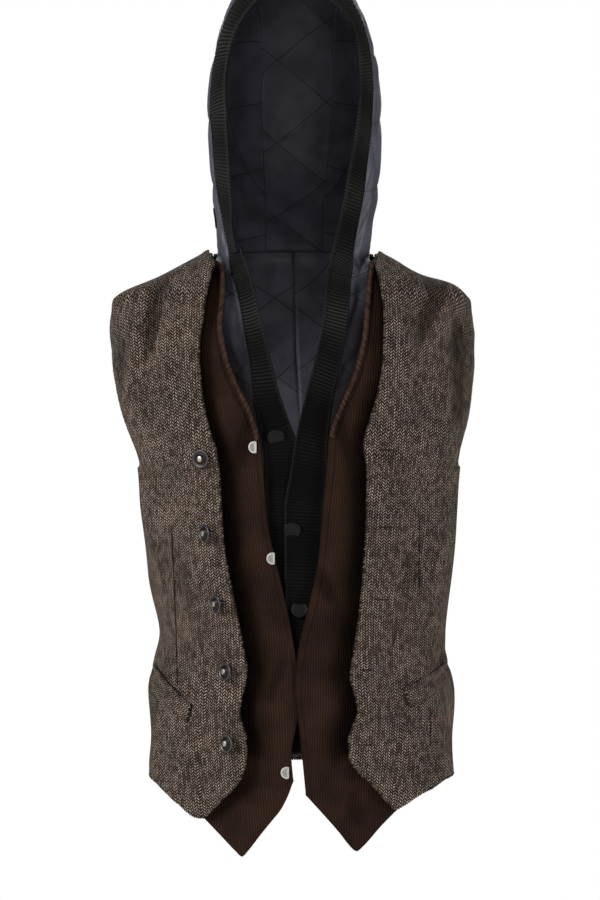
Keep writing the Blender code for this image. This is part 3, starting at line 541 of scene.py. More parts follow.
QUILT_SPACING, QUILT_ANGLE, QUILT_START = 74.0, math.radians(50), 0.3
quilt_lines, given, result = effect("quilting lines", (("Flat", VECTOR), ("Half Width", NUMBER, 0.0007)), ("Line",))
work = quilt_lines.math
flat_at = quilt_lines.put("ShaderNodeSeparateXYZ", s0=given["Flat"])
nearest = []
for way in (1, -1):
    upward = work("MULTIPLY_ADD", flat_at[1], way * math.sin(QUILT_ANGLE) / (QUILT_SPACING * MM), QUILT_START + 0.5)
    field = work("MULTIPLY_ADD", flat_at[0], math.cos(QUILT_ANGLE) / (QUILT_SPACING * MM), upward)
    nearest.append(work("ABSOLUTE", work("SUBTRACT", work("FRACT", field), 0.5)))
away = work("MULTIPLY", work("MINIMUM", *nearest), QUILT_SPACING * MM)
line = quilt_lines.step(work("DIVIDE", away, given["Half Width"]), 0.3, 1.2, 1.0, 0.0)
quilt_lines.plug(result["Line"], line)
print("effects:", [group.name for group in bpy.data.node_groups if group.bl_idname == "ShaderNodeTree"])


# %% Start of every material
class Finish(Net):
    """A material: fixed sockets of its Principled shader are set at once, the others fed by nodes."""

    def __init__(self, name, **fixed):
        self.material = bpy.data.materials.new(name)
        self.material.use_nodes = True
        super().__init__(self.material.node_tree)
        self.surface = self.tree.nodes["Principled BSDF"].inputs
        for key, value in fixed.items():
            self.surface[key.replace("_", " ")].default_value = value

    def flat(self):
        return self.put("ShaderNodeUVMap", {"uv_map": "Flat"})[0]

    def air(self):
        return self.put("ShaderNodeTexCoord")["Object"]

    def mark(self, name):
        return self.put("ShaderNodeAttribute", {"attribute_name": name})["Fac"]

    def tinted(self, base, share, low, high):
        """The colour base, multiplied by a tint between low and high."""
        return self.mix(1.0, base, self.mix(share, (*low, 1), (*high, 1)), "MULTIPLY")

    def finished(self, base, height, distance, strength):
        """The material with its colour and its bump."""
        self.plug(self.surface["Base Color"], base)
        bump = self.put("ShaderNodeBump", Height=height, Distance=distance, Strength=strength)[0]
        self.plug(self.surface["Normal"], bump)
        return self.material


# %% [markdown]
# ## Tweed
#
# The tweed is a broken herringbone: dark brown ground with light grey-tan dashes that lean left and
# right in narrow columns. The dashes are about the length of three threads. Painting them in the
# flat cut's own coordinates keeps every column upright in the cloth and its size right at the
# shoulders. Warmer and cooler patches and a light fuzz keep it from looking printed, and painted
# shade darkens the cloth where a fold sinks in.

# %% The tweed's material
tweed = Finish("herringbone tweed", Roughness=0.95, Sheen_Weight=0.03, Sheen_Roughness=0.5, Specular_IOR_Level=0.08)
weave = tweed.group(herringbone, Flat=tweed.flat())
hairs = tweed.group(fuzz, Vector=tweed.air(), Size=0.0016)
shade = tweed.group(patches, Vector=tweed.air(), Size=0.045)
ground = tweed.mix(shade["Warm"], srgb(25, 18, 15), srgb(34, 23, 19))
thread = tweed.mix(weave["Fleck"], srgb(158, 138, 120), srgb(206, 190, 176))
base = tweed.mix(weave["Thread"], ground, thread)
base = tweed.mix(tweed.math("MULTIPLY", hairs["Fuzz"], 0.10), base, srgb(96, 84, 72))
base = tweed.tinted(base, shade["Light"], (0.80, 0.82, 0.80), (1.12, 1.08, 1.04))
# painted shade: the tweed's colour is darkened where a fold sinks in
base = tweed.tinted(base, tweed.mark("tweed_fold_shade"), (1, 1, 1), (0.38, 0.36, 0.35))
height = tweed.math("MULTIPLY_ADD", hairs["Fine"], 0.35, weave["Relief"])
tweed = tweed.finished(base, height, 0.0006, 0.9)


def yarn_finish(name, dark, light, fluff, fleck_low, fleck_high):
    """Loose yarn; each stitch has its own chance value in the attribute fleck."""
    finish = Finish(name, Roughness=0.92, Sheen_Weight=0.04, Specular_IOR_Level=0.1)
    hairs = finish.group(fuzz, Vector=finish.air(), Size=0.0009)["Fuzz"]
    base = finish.mix(finish.step(finish.mark("fleck"), fleck_low, fleck_high), dark, light)
    base = finish.mix(finish.math("MULTIPLY", hairs, 0.35), base, fluff)
    return finish.finished(base, hairs, 0.0004, 0.8)


tweed_yarn = yarn_finish("tweed edge yarn", srgb(38, 30, 26), srgb(116, 102, 88), srgb(62, 52, 44), 0.35, 1.0)
print("materials:", tweed.name, "and", tweed_yarn.name)

# %% [markdown]
# ## Corduroy
#
# Corduroy is a velvet cut in ridges. Its wales run down the cloth, but the strip along each front
# edge is folded from a facing, so there they run beside the edge, with a dark seam between. The pile
# drinks light between the wales and shines a little where it leans, which is what sheen is for.
# Painted shade, held in a point attribute, darkens the cloth under and beside the tweed's edge, above
# the tweed's hem and in the corduroy's own folds, where hardly any light gets in.

# %% The corduroy's material
FACING_WIDTH, WALE_PITCH, WALE_SWAY = 0.0095, 0.0027, 0.0016
SHARP_STEP = 0.0001
corduroy = Finish("brown corduroy", Roughness=0.88, Sheen_Weight=0.08, Sheen_Roughness=0.35,
                  Sheen_Tint=srgb(170, 120, 100), Specular_IOR_Level=0.06)
TROUGH = srgb(31, 21, 16)
from_edge = corduroy.math("MULTIPLY", corduroy.mark("from_edge"), MM)
across = corduroy.put("ShaderNodeSeparateXYZ", s0=corduroy.flat())[0]
in_field = corduroy.step(from_edge, FACING_WIDTH - SHARP_STEP, FACING_WIDTH + SHARP_STEP)
run = corduroy.put("ShaderNodeMix", {"data_type": "FLOAT"}, s0=in_field, s2=from_edge, s3=across)[0]
wander = corduroy.put("ShaderNodeTexNoise", Vector=corduroy.flat(), Scale=40.0, Detail=1.0)[0]
sway = corduroy.math("MULTIPLY", wander, WALE_SWAY)
wales = corduroy.group(cords, Across=run, Pitch=WALE_PITCH, Sway=sway)
pile = corduroy.group(fuzz, Vector=corduroy.flat(), Size=0.0013, Stretch=0.45)
shade = corduroy.group(patches, Vector=corduroy.air(), Size=0.04)
seam = corduroy.math("ABSOLUTE", corduroy.math("SUBTRACT", from_edge, FACING_WIDTH))
lit = corduroy.math("MULTIPLY", wales["Ridge"], corduroy.step(seam, 0.0003, 0.0013))
base = corduroy.mix(lit, TROUGH, srgb(54, 38, 29))
base = corduroy.mix(corduroy.math("MULTIPLY", pile["Fuzz"], 0.6), base, TROUGH)
base = corduroy.tinted(base, shade["Light"], (0.72, 0.72, 0.74), (1.25, 1.2, 1.12))
# painted shade: the corduroy is darkened under and beside the tweed and in its folds
base = corduroy.tinted(base, corduroy.mark("cord_painted_shade"), (1, 1, 1), (0.12, 0.12, 0.12))
corduroy = corduroy.finished(base, corduroy.math("MULTIPLY_ADD", pile["Fine"], 0.3, lit), 0.0005, 0.9)
corduroy_yarn = yarn_finish("corduroy ridges", srgb(60, 42, 34), srgb(86, 62, 51), srgb(34, 23, 18), 0.0, 1.0)
print("materials:", corduroy.name, "and", corduroy_yarn.name)

# %% [markdown]
# ## Nylon, rib knit and metal
#
# The inner vest is a slate-navy nylon with a soft shine; its fronts, deep between the other layers,
# are duller and painted darker as shade. Its trim is a black rib knit with almost no shine at all;
# its rib crests are painted lighter and the gaps darker, as light and shade. The buttons are dished
# gunmetal with a bright rubbed dome, and the studs pale metal. A point attribute tells how deep
# the cloth lies in the opening, where shade is painted into its colour.

# %% Nylon and rib knit materials
DEEP_SHADE = (0.16, 0.16, 0.16)


def nylon_finish(name, colour, shaded, smoothest, specular):
    finish = Finish(name, Sheen_Weight=0.06, Specular_IOR_Level=specular)
    shade = finish.group(patches, Vector=finish.air(), Size=0.03)
    threads = finish.group(fuzz, Vector=finish.flat(), Size=0.0008)
    lines = finish.group(quilt_lines, Flat=finish.flat())
    base = finish.mix(lines["Line"], finish.mix(shade["Light"], shaded, colour), srgb(34, 34, 40))
    # painted shade: the nylon is darkened where it lies deep in the opening
    base = finish.tinted(base, finish.mark("painted_v_shade"), (1, 1, 1), DEEP_SHADE)
    finish.plug(finish.surface["Roughness"], finish.step(threads["Fuzz"], 0.0, 1.0, smoothest, smoothest + 0.14))
    crumple = finish.put("ShaderNodeTexNoise", Vector=finish.flat(), Scale=90.0, Detail=2.0, Distortion=0.6)[0]
    return finish.finished(base, finish.math("MULTIPLY_ADD", threads["Fine"], 0.12, crumple), 0.0012, 0.5)


nylon = nylon_finish("slate nylon", srgb(86, 86, 98), srgb(68, 68, 79), 0.42, 0.4)
# the fronts' copy of the nylon is rougher with less shine, and its colours are painted darker as shade
dull_shaded_nylon = nylon_finish("worn nylon of the fronts", srgb(80, 80, 92), srgb(58, 58, 68), 0.66, 0.1)

rib_knit = Finish("black rib knit", Roughness=0.95, Sheen_Weight=0.04, Specular_IOR_Level=0.1)
across = rib_knit.put("ShaderNodeSeparateXYZ", s0=rib_knit.flat())[0]
stitch = rib_knit.group(cords, Across=across, Pitch=0.0016)["Ridge"]
hairs = rib_knit.group(fuzz, Vector=rib_knit.air(), Size=0.0011)
# the rib crests are painted lighter and the gaps near-black, as light and shade on the knit's relief; the crests also
# differ at random from rib to rib
shade_painted = rib_knit.math("POWER", rib_knit.mark("ridge"), 1.6)
shade_painted = rib_knit.math("MULTIPLY", shade_painted, rib_knit.step(hairs["Fuzz"], 0.0, 1.0, 0.5, 1.0))
base = rib_knit.mix(shade_painted, srgb(6, 6, 6), srgb(60, 60, 58))
# painted shade: the knit is darkened where it lies deep in the opening
base = rib_knit.tinted(base, rib_knit.mark("painted_v_shade"), (1, 1, 1), DEEP_SHADE)
height = rib_knit.math("MULTIPLY_ADD", hairs["Fine"], 0.4, rib_knit.math("MULTIPLY", stitch, 0.35))
rib_knit = rib_knit.finished(base, height, 0.0005, 0.8)


# %% Metal, button and thread materials
def metal_finish(name, metallic, rim, dish, dome, dome_radius, dish_radius, roughness=0.42):
    """Metal that is rubbed bright on its dome; the attribute reach holds the distance from the axis."""
    finish = Finish(name, Metallic=metallic)
    reach = finish.mark("reach")
    grain = finish.group(fuzz, Vector=finish.air(), Size=0.0012)
    base = finish.mix(finish.step(reach, dome_radius - 0.5, dome_radius + 0.7), dome, dish)
    base = finish.mix(finish.step(reach, dish_radius - 0.6, dish_radius + 0.4), base, rim)
    base = finish.mix(finish.math("MULTIPLY", grain["Fuzz"], 0.25), base, dish)
    rough = finish.step(grain["Fuzz"], 0.0, 1.0, roughness - 0.06, roughness + 0.1)
    finish.plug(finish.surface["Roughness"], rough)
    return finish.finished(base, grain["Fine"], 0.0001, 0.4)


def plain_finish(name, colour, other_colour, roughness=0.9, size=0.0006):
    """A small piece's finish with a mottle and a fine bump."""
    finish = Finish(name, Roughness=roughness, Specular_IOR_Level=0.2)
    grain = finish.group(fuzz, Vector=finish.air(), Size=size)["Fuzz"]
    return finish.finished(finish.mix(grain, colour, other_colour), grain, size * 0.2, 0.5)


gunmetal = metal_finish("gunmetal", 0.85, srgb(92, 89, 90), srgb(50, 46, 46), srgb(204, 194, 178), 2.8, 7.8)
stud_metal = metal_finish("stud metal", 0.35, srgb(204, 200, 194), srgb(150, 148, 144), srgb(150, 148, 144), 3.0, 5.0)
black_resin = plain_finish("black resin", srgb(13, 11, 10), srgb(20, 18, 16), 0.42, 0.002)
dark_thread = plain_finish("dark thread", srgb(20, 16, 14), srgb(38, 31, 27))
soft_thread = plain_finish("soft brown thread", srgb(34, 27, 23), srgb(58, 48, 41))
slate_thread = plain_finish("slate thread", srgb(52, 52, 60), srgb(92, 92, 102), 0.6)
print("materials so far:", len(bpy.data.materials))

# %% [markdown]
# ## Cloth as a closed shell
#
# Each panel becomes one closed shell: an outer face, an inner face, and a rounded rim between them.
# The rim is a ring of points pushed a little past both faces, so an edge looks folded and not sawn.
# The marks that the materials read, such as the distance from the free edge, are point attributes.

# %% Make a shell from two grids
def shell(name, outer, inner, flat, finish, marks=None, bulge=0.35):
    """A closed shell between two grids of the same size, with the flat cut as its UV map."""
    rows, columns = outer.shape[:2]
    count = rows * columns
    index = np.arange(count).reshape(rows, columns)
    border = np.concatenate([index[:-1, 0], index[-1, :-1], index[:0:-1, -1], index[0, :0:-1]])
    deeper = index[np.clip(np.arange(rows), 1, rows - 2)][:, np.clip(np.arange(columns), 1, columns - 2)]
    outside, inside = outer.reshape(-1, 3), inner.reshape(-1, 3)
    middle = (outside + inside) / 2
    way = unit(middle[border] - middle[deeper.ravel()[border]])
    thickness = np.linalg.norm(outside[border] - inside[border], axis=1, keepdims=True)
    points = np.concatenate([outside, inside, middle[border] + way * thickness * bulge])
    ring = np.arange(len(border))
    after = np.roll(ring, -1)
    quads = np.concatenate([
        quads_of(rows, columns),
        quads_of(rows, columns, count)[:, ::-1],
        np.stack([border[after], border[ring], 2 * count + ring, 2 * count + after], axis=1),
        np.stack([2 * count + after, 2 * count + ring, count + border[ring], count + border[after]], axis=1),
    ])
    a, b, c, d = (points[quads[:, k]] for k in range(4))
    if np.sum(a * np.cross(b, c)) + np.sum(a * np.cross(c, d)) < 0:
        quads = quads[:, ::-1]
    mesh = mesh_of(name, points, quads)
    mesh.shade_smooth()
    mesh.materials.append(finish)
    flat = flat.reshape(-1, 2)
    corners = (np.concatenate([flat, flat, flat[border]]) * MM)[quads.ravel()]
    mesh.uv_layers.new(name="Flat").data.foreach_set("uv", corners.astype(np.float32).ravel())
    for key, values in (marks or {}).items():
        values = np.concatenate([values.ravel(), values.ravel(), values.ravel()[border]])
        attribute = mesh.attributes.new(key, "FLOAT", "POINT")
        attribute.data.foreach_set("value", values.astype(np.float32))
    return linked(name, mesh)


# %% [markdown]
# ## How each piece joins the vest
#
# Every finished piece rides on the vest's one body and stands for the solids it covers, which are
# hidden. A sheet of cloth also says how large it was before it was sewn.

# %% Fit a piece to its solid
def fit(made, slot, *nodes):
    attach(made, "root")
    if nodes:
        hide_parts(*nodes)


cuts = {}


def cloth(name, node, slot, finish, outer, inner, flat, rests_on, held="hung", turned_in=0.0, **shape):
    """A shell of cloth that stands for its solid; turned_in is the width folded out of sight."""
    made = shell(name, outer, inner, flat, finish, **shape)
    fit(made, slot, node)
    size = np.ptp(flat.reshape(-1, 2), axis=0)
    width, length = (float(size[0]) + turned_in) * MM, float(size[1]) * MM
    area = min(flat_area(flat) * MM * MM, width * length)
    cuts[name] = (round(width * 1000), round(length * 1000), round(area, 4))
    print(name, len(made.data.polygons), "faces, cut", cuts[name])


# %% [markdown]
# ## Creases
#
# Creases are placed one by one, each a soft trough or ridge from one place to another with its own
# width, depth and bow, because real folds are uneven. A place is given as it shows: sideways and
# height, seen from the front or, for the backs, from behind.

# %% Work out the creases of a panel
DEGREE = 2.6  # millimetres of cloth in a degree of bearing, near enough all round


def chart(p, ahead):
    """Sideways and upward places on the cloth; seen from behind, they run on over the centre back."""
    at = spot(p)
    sideways = np.where(at[..., 0] < -179.9, 180.0, at[..., 0]) * DEGREE
    if not ahead:
        sideways = np.where(sideways < 0, sideways + 360 * DEGREE, sideways)
    return np.stack([sideways, at[..., 1]], axis=-1)


def creased(grid, rows, ahead=True):
    """How far each point of the grid moves out, in millimetres."""
    here = chart(grid, ahead)
    total = np.zeros(grid.shape[:2])
    for x0, z0, x1, z1, bow, width, depth in rows:
        ends = chart(facing(np.array([x0, x1]), np.array([z0, z1]), ahead), ahead)
        run = ends[1] - ends[0]
        long = np.linalg.norm(run)
        run, side = run / long, np.array([-run[1], run[0]]) / long
        t = np.clip(((here - ends[0]) @ run) / long, 0, 1)
        nearest = ends[0] + t[..., None] * run * long + (4 * bow * t * (1 - t))[..., None] * side
        away = np.linalg.norm(here - nearest, axis=-1) / width
        taper = np.sin(np.pi * np.clip(0.12 + 0.76 * t, 0, 1)) ** 0.8
        total += depth * taper * np.exp(-away ** 2)
    return total


def ripple(p, amount, length=46.0):
    """A slight unevenness that no table needs to hold."""
    x, y, z = (p[..., k] / length for k in range(3))
    wave = np.sin(2.1 * x + 1.3 * z + 0.7) * np.sin(1.7 * z - 1.1 * y + 2.0)
    return amount * (wave + 0.5 * np.sin(3.3 * z + 2.3 * x + 1.1 * y))


# %% [markdown]
# ## What follows an edge
#
# Overcast edges, the ridged neckline bindings, quilting stitches and buttonholes are all the same
# thing: a short piece of yarn laid again and again along a path. One Geometry Nodes tree does it.
# It reads the direction of the path and the way the cloth faces from the path's own points, so the
# yarn stays on the cloth wherever the edge turns.

# %% The tree that lays yarn along a path
yarn = Net(bpy.data.node_groups.new("yarn laid along a path", "GeometryNodeTree"))
yarn.declare("Path", "NodeSocketGeometry")
yarn.declare("Geometry", "NodeSocketGeometry", way="OUTPUT")
for row in (
    ("Length", NUMBER, 0.004), ("Width", NUMBER, 0.0015), ("Thickness", NUMBER, 0.0015), ("Slant", NUMBER, 0.5),
    ("Uneven", NUMBER, 0.15), ("Seed", "NodeSocketInt", 1), ("Yarn", "NodeSocketMaterial"),
):
    yarn.declare(*row)
given, result = yarn.ends()


def named_way(name):
    return yarn.put("GeometryNodeInputNamedAttribute", {"data_type": "FLOAT_VECTOR"}, Name=name)[0]


def chance_between(low, high, seed_step):
    seed = yarn.math("ADD", given["Seed"], float(seed_step))
    return yarn.put("FunctionNodeRandomValue", {"data_type": "FLOAT"}, s2=low, s3=high, Seed=seed)[1]


bead = yarn.put("GeometryNodeMeshUVSphere", Radius=1.0, Segments=6, Rings=5)[0]
size = yarn.put("ShaderNodeCombineXYZ", s0=given["Length"], s1=given["Width"], s2=given["Thickness"])[0]
size = yarn.put("ShaderNodeVectorMath", {"operation": "SCALE"}, s0=size, Scale=0.5)[0]
bead = yarn.put("GeometryNodeTransform", Geometry=bead, Scale=size)[0]
turn = yarn.put("FunctionNodeAlignRotationToVector", {"axis": "Z"}, Vector=named_way("facing"))[0]
turn = yarn.put("FunctionNodeAlignRotationToVector", {"axis": "X", "pivot_axis": "Z"}, Rotation=turn,
                Vector=named_way("across"))[0]
lean = yarn.math("ADD", given["Slant"], chance_between(-0.12, 0.12, 1))
lean = yarn.put("FunctionNodeAxisAngleToRotation", Axis=(0, 0, 1), Angle=lean)[0]
turn = yarn.put("FunctionNodeRotateRotation", {"rotation_space": "LOCAL"}, Rotation=turn, Rotate_By=lean)[0]
swell = yarn.math("ADD", yarn.math("MULTIPLY", given["Uneven"], chance_between(-1.0, 1.0, 2)), 1.0)
laid = yarn.put("GeometryNodeInstanceOnPoints", Points=given["Path"], Instance=bead, Rotation=turn, Scale=swell)[0]
laid = yarn.put("GeometryNodeStoreNamedAttribute", {"data_type": "FLOAT", "domain": "INSTANCE"}, Geometry=laid,
                Name="fleck", Value=chance_between(0.0, 1.0, 3))[0]
laid = yarn.put("GeometryNodeRealizeInstances", Geometry=laid)[0]
laid = yarn.put("GeometryNodeSetShadeSmooth", Geometry=laid)[0]
laid = yarn.put("GeometryNodeSetMaterial", Geometry=laid, Material=given["Yarn"])[0]
yarn.plug(result["Geometry"], laid)
print("tree:", yarn.tree.name, len(yarn.tree.nodes), "nodes")


# %% Lay yarn on a path of points
def evenly(points, ways, spacing):
    """Places a spacing apart along a path, with the path's direction and the facing there."""
    run = run_along(points)
    at = np.arange(spacing / 2, run[-1], spacing)

    def read(values, at):
        return np.stack([np.interp(at, run, values[:, k]) for k in range(3)], axis=1)

    ahead = unit(read(points, at + 1) - read(points, at - 1))
    out = read(ways, at)
    return read(points, at), ahead, unit(out - ahead * np.sum(ahead * out, axis=1, keepdims=True))


def lay_yarn(name, slot, finish, paths, spacing, size, slant=0.0, uneven=0.15, seed=1, along_path=False):
    """Yarn along paths of points and facings, as one mesh; size is its length, width and thickness."""
    parts = [evenly(points, ways, spacing) for points, ways in paths]
    here, ahead, out = (np.concatenate([part[k] for part in parts]) for k in range(3))
    mesh = bpy.data.meshes.new(name)
    mesh.vertices.add(len(here))
    mesh.vertices.foreach_set("co", (here * MM).astype(np.float32).ravel())
    ways = {"across": ahead if along_path else np.cross(out, ahead), "facing": out}
    for key, values in ways.items():
        attribute = mesh.attributes.new(key, "FLOAT_VECTOR", "POINT")
        attribute.data.foreach_set("vector", values.astype(np.float32).ravel())
    source = linked(name + "_path", mesh)
    modifier = source.modifiers.new("yarn", "NODES")
    modifier.node_group = yarn.tree
    inputs = {item.name: item.identifier for item in yarn.tree.interface.items_tree if item.in_out == "INPUT"}
    values = dict(zip(("Length", "Width", "Thickness"), [length * MM for length in size]))
    values.update({"Slant": slant, "Uneven": uneven, "Seed": seed, "Yarn": finish})
    for key, value in values.items():
        modifier[inputs[key]] = value
    bpy.context.view_layer.update()
    solid = bpy.data.meshes.new_from_object(source.evaluated_get(bpy.context.evaluated_depsgraph_get()))
    solid.name = name
    for key in ways:
        if key in solid.attributes:
            solid.attributes.remove(solid.attributes[key])
    bpy.data.objects.remove(source)
    fit(linked(name, solid), slot)
    print(name, len(here), "pieces of yarn,", len(solid.polygons), "faces")


# %% [markdown]
# ## Corduroy fronts
#
# Each front is one panel from its free edge to the side seam. The tables below hold how its edge and
# hem show from the front; the pointed hem is only a table of places. The left front laps over the
# right one, so its lift grows a little towards its edge.

# %% Outlines of the corduroy fronts
#  height, sideways place of the free edge
CORD_EDGE = {
    "right": (
        (-586, -4), (-560, -6), (-500, 3), (-457, -1), (-405, -10), (-357, -21), (-300, -33), (-235, -38),
        (-204, -43), (-182, -50), (-150, -66), (-120, -77), (-85, -83), (-45, -79), (-28, -79),
    ),
    "left": (
        (-601, 10), (-560, 6), (-521, 2), (-481, -2), (-443, 2), (-400, 12), (-350, 23), (-296, 28),
        (-242, 33), (-204, 36), (-182, 44), (-137, 63), (-100, 72), (-45, 77), (-26, 79),
    ),
}
CORD_NECK_STEP, CORD_SIDE_HEM = (72, -18), -578.0
#  share of the hem from the free edge, sideways place, height
CORD_HEM = {
    "right": (
        (0, -4, -586), (0.06, -9, -600), (0.125, -17, -616), (0.19, -28, -630), (0.25, -40, -645), (0.315, -53, -662),
        (0.36, -60, -669), (0.405, -67, -663), (0.5, -86, -644), (0.62, -108, -623), (0.75, -132, -602),
    ),
    "left": (
        (0, 10, -601), (0.06, 19, -611), (0.125, 29, -622), (0.25, 47, -643), (0.315, 57, -656),
        (0.36, 65, -663), (0.41, 73, -657), (0.5, 94, -634), (0.62, 115, -615), (0.75, 138, -600),
    ),
}

# %% A front from its free edge to the side seam
EDGE_ROW_STEP, LEVEL_ROW = 3.0, -515


def front_curves(side, edge_rows, neck_step, hem_rows, side_hem, lift, thickness):
    """The four edges of a front, each as a function of a share from 0 to 1."""
    top_row, neck_row = SHOULDER_ROWS
    levels = np.append(np.arange(side_hem, top_row - 0.1, EDGE_ROW_STEP), top_row)
    at_side = (side_hem, LEVEL_ROW, UNDERARM, top_row)
    at_edge = (edge_rows[0][0], LEVEL_ROW, UNDERARM, edge_rows[-1][0])
    heights = np.interp(levels, at_side, at_edge)
    edge = showing_at(through(edge_rows, 1, heights), heights, lift, thickness)
    last = place(np.array([side * neck_step[0], side * 90.0]), np.array([neck_step[1], NECK_SIDE]))
    table = np.column_stack([np.append(levels, (neck_row, SHOULDER_TIP)), np.concatenate([edge, last])])
    shares, xs, zs = np.array(hem_rows, float).T
    hem = np.column_stack([shares, spot(showing_at(xs, zs, lift, thickness))])
    hem = np.vstack([hem, [1.0, side * 90.0, side_hem]])

    def free_edge(v):
        height = side_hem + v * (SHOULDER_TIP - side_hem)
        return np.stack([through(table, k, height) for k in (1, 2, 3)], axis=-1)

    def hem_edge(u):
        return place(through(hem, 1, u), through(hem, 2, u))

    return free_edge, side_edge(side, 1, side_hem), hem_edge, shoulder_seam(side)


def lift_cord_right(p):
    return CORD_SEAM_LIFT + CORD_LOOSE * looseness(p)


def lift_cord_left(p):
    over = eased((LAP_WIDTH - np.abs(p[..., 0] - through(CORD_EDGE["left"], 1, p[..., 2]))) / LAP_WIDTH)
    return lift_cord_right(p) + LAP_LIFT * over * looseness(p)


CORD_LIFT = {"right": lift_cord_right, "left": lift_cord_left}
print("corduroy hems point down to", [min(row[2] for row in rows) for rows in CORD_HEM.values()])

# %% Outlines of the tweed fronts
TWEED_EDGE = {
    "right": (
        (-560, -55), (-538, -56), (-510, -63), (-488, -59), (-465, -55), (-442, -59), (-405, -66), (-360, -75),
        (-320, -81), (-265, -84), (-232, -87), (-200, -97), (-160, -104), (-115, -107), (-78, -103), (-40, -97),
        (-22, -92),
    ),
    "left": (
        (-560, 58), (-541, 57), (-508, 67), (-488, 63), (-473, 59), (-443, 63), (-402, 69), (-357, 73),
        (-311, 76), (-250, 77), (-222, 73), (-200, 78), (-162, 89), (-125, 95), (-80, 96), (-40, 92), (-22, 88),
    ),
}
TWEED_NECK_STEP, TWEED_SIDE_HEM = (80, -12), -585.0
TWEED_HEM = {
    "right": (
        (0, -55, -560), (0.06, -57, -571), (0.125, -62, -583), (0.19, -70, -594), (0.25, -82, -606),
        (0.315, -95, -620), (0.36, -103, -627), (0.40, -110, -627), (0.5, -131, -613), (0.62, -147, -601),
        (0.75, -159, -592),
    ),
    "left": (
        (0, 58, -560), (0.06, 63, -570), (0.125, 71, -579), (0.19, 80, -587), (0.25, 90, -598), (0.315, 101, -611),
        (0.36, 108, -617), (0.40, 116, -614), (0.5, 135, -603), (0.62, 150, -597), (0.75, 165, -589),
    ),
}
#  height, how far the free edge stands out there
TWEED_STAND = {
    "right": ((-640, 6), (-545, 9), (-480, 12), (-400, 14), (-300, 13), (-220, 9), (-110, 6), (-20, 5), (8, 0)),
    "left": ((-640, 6), (-545, 9), (-470, 10), (-400, 8), (-300, 7), (-220, 9), (-110, 7), (-20, 6), (8, 0)),
}


def tweed_lift(name):
    def lift(p):
        return TWEED_SEAM_LIFT + TWEED_LOOSE * looseness(p) + edge_stand(p, TWEED_EDGE[name], TWEED_STAND[name])

    return lift


def lift_tweed_back(p):
    return TWEED_SEAM_LIFT + TWEED_BACK_LOOSE * looseness(p)


# %% Creases of the corduroy
#  from sideways place, from height, to sideways place, to height, bow, width, depth (below 0 is a trough)
CORD_CREASES = {
    "right": (
        (-62, -470, -28, -545, 6, 9, 2.6), (-30, -505, -12, -455, 3, 8, -1.8), (-48, -560, -22, -606, 3, 10, 2.0),
        (-70, -360, -40, -330, 5, 13, 1.6), (-66, -250, -52, -190, -3, 9, -1.5), (-80, -620, -52, -585, 4, 12, -1.5),
    ),
    "left": (
        (58, -470, 22, -530, 5, 10, 2.2), (46, -400, 24, -352, 4, 9, -1.8), (60, -560, 34, -618, 5, 11, 2.0),
        (62, -255, 48, -195, 3, 9, -1.5), (70, -640, 58, -590, 3, 10, -1.6),
    ),
}

# %% Build the corduroy fronts
CORD_SPACING, CORD_FOLD, CORD_RIPPLE = 3.6, 1.5, 0.5
#  how far the tweed's shade reaches past its edge at the neck, how much more low down
SHADE_REACH, MORE_SHADE, SHADE_TOP, SHADE_RUN = 8, 30, -120, 160
HEM_SHADE, HEM_SHADE_REACH, FOLD_SHADE, FOLD_DEPTH = 8, 14, 0.45, 2.0
cord_fronts = {}
for name, side in SIDES.items():
    lift = CORD_LIFT[name]
    curves = front_curves(side, CORD_EDGE[name], CORD_NECK_STEP, CORD_HEM[name], CORD_SIDE_HEM, lift, CORD_WALL)
    grid = drawn_in(panel_grid(curves, CORD_SPACING), "right", "top")
    move = (CORD_FOLD * creased(grid, CORD_CREASES[name]) + ripple(grid, CORD_RIPPLE)) * looseness(grid)
    outer, inner = raised(grid, lift(grid) + CORD_WALL + move), raised(grid, lift(grid) + move)
    sideways, height = np.abs(outer[..., 0]), outer[..., 2]
    under = sideways - np.abs(through(TWEED_EDGE[name], 1, height))
    reach = SHADE_REACH + MORE_SHADE * eased((SHADE_TOP - height) / SHADE_RUN)
    tweed_hem = np.array(TWEED_HEM[name])
    above = height - np.interp(sideways, np.abs(tweed_hem[:, 1]), tweed_hem[:, 2])
    # painted shade of the corduroy: under and beside the tweed's edge, above the tweed's hem, in its own folds
    cord_painted_shade = eased((under + reach) / reach) * eased((above + HEM_SHADE) / HEM_SHADE_REACH)
    cord_painted_shade = np.maximum(cord_painted_shade, FOLD_SHADE * eased(-move / FOLD_DEPTH))
    marks = {"from_edge": run_along(grid, 1), "cord_painted_shade": cord_painted_shade}
    cloth(f"corduroy_front_{name}", f"cord_front_{name}", "corduroy", corduroy, outer, inner, laid_flat(grid),
          [f"nylon_front_{name}"], marks=marks)
    cord_fronts[name] = grid, lift, move, outer

# %% [markdown]
# ## Ridged neckline bindings
#
# Above the stud the neckline of each front is bound with a strip of the same corduroy. The strip is
# wound so that its wales cross the edge, and from the front it looks like a row of slanted ridges.
# The strip itself is a thin shell on the front, and the ridges are yarn laid along it.

# %% Build the bindings
BINDING_WIDTH, BINDING_WALL, BINDING_CLEARANCE, BINDING_TURNED_IN = 7.0, 1.2, 0.5, 3.5
BINDING_FOOT, BINDING_HEAD = -212.0, -20.0
BINDING_CROWN, STRIP_SHARE = 0.6 * np.array([0.0, 0.5, 0.7, 0.5, 0.0]), 0.55
RIDGE_PITCH, RIDGE_SIZE, RIDGE_SLANT = 2.8, (7.6, 2.4, 3.2), 0.62
OFF_FACING = 20


def on_strip(values, rows, reach, widths):
    """Values of a panel's points, read at widths from its free edge along each of the rows."""
    return np.array([np.interp(widths, along_row, row) for along_row, row in zip(reach[rows], values[rows])])


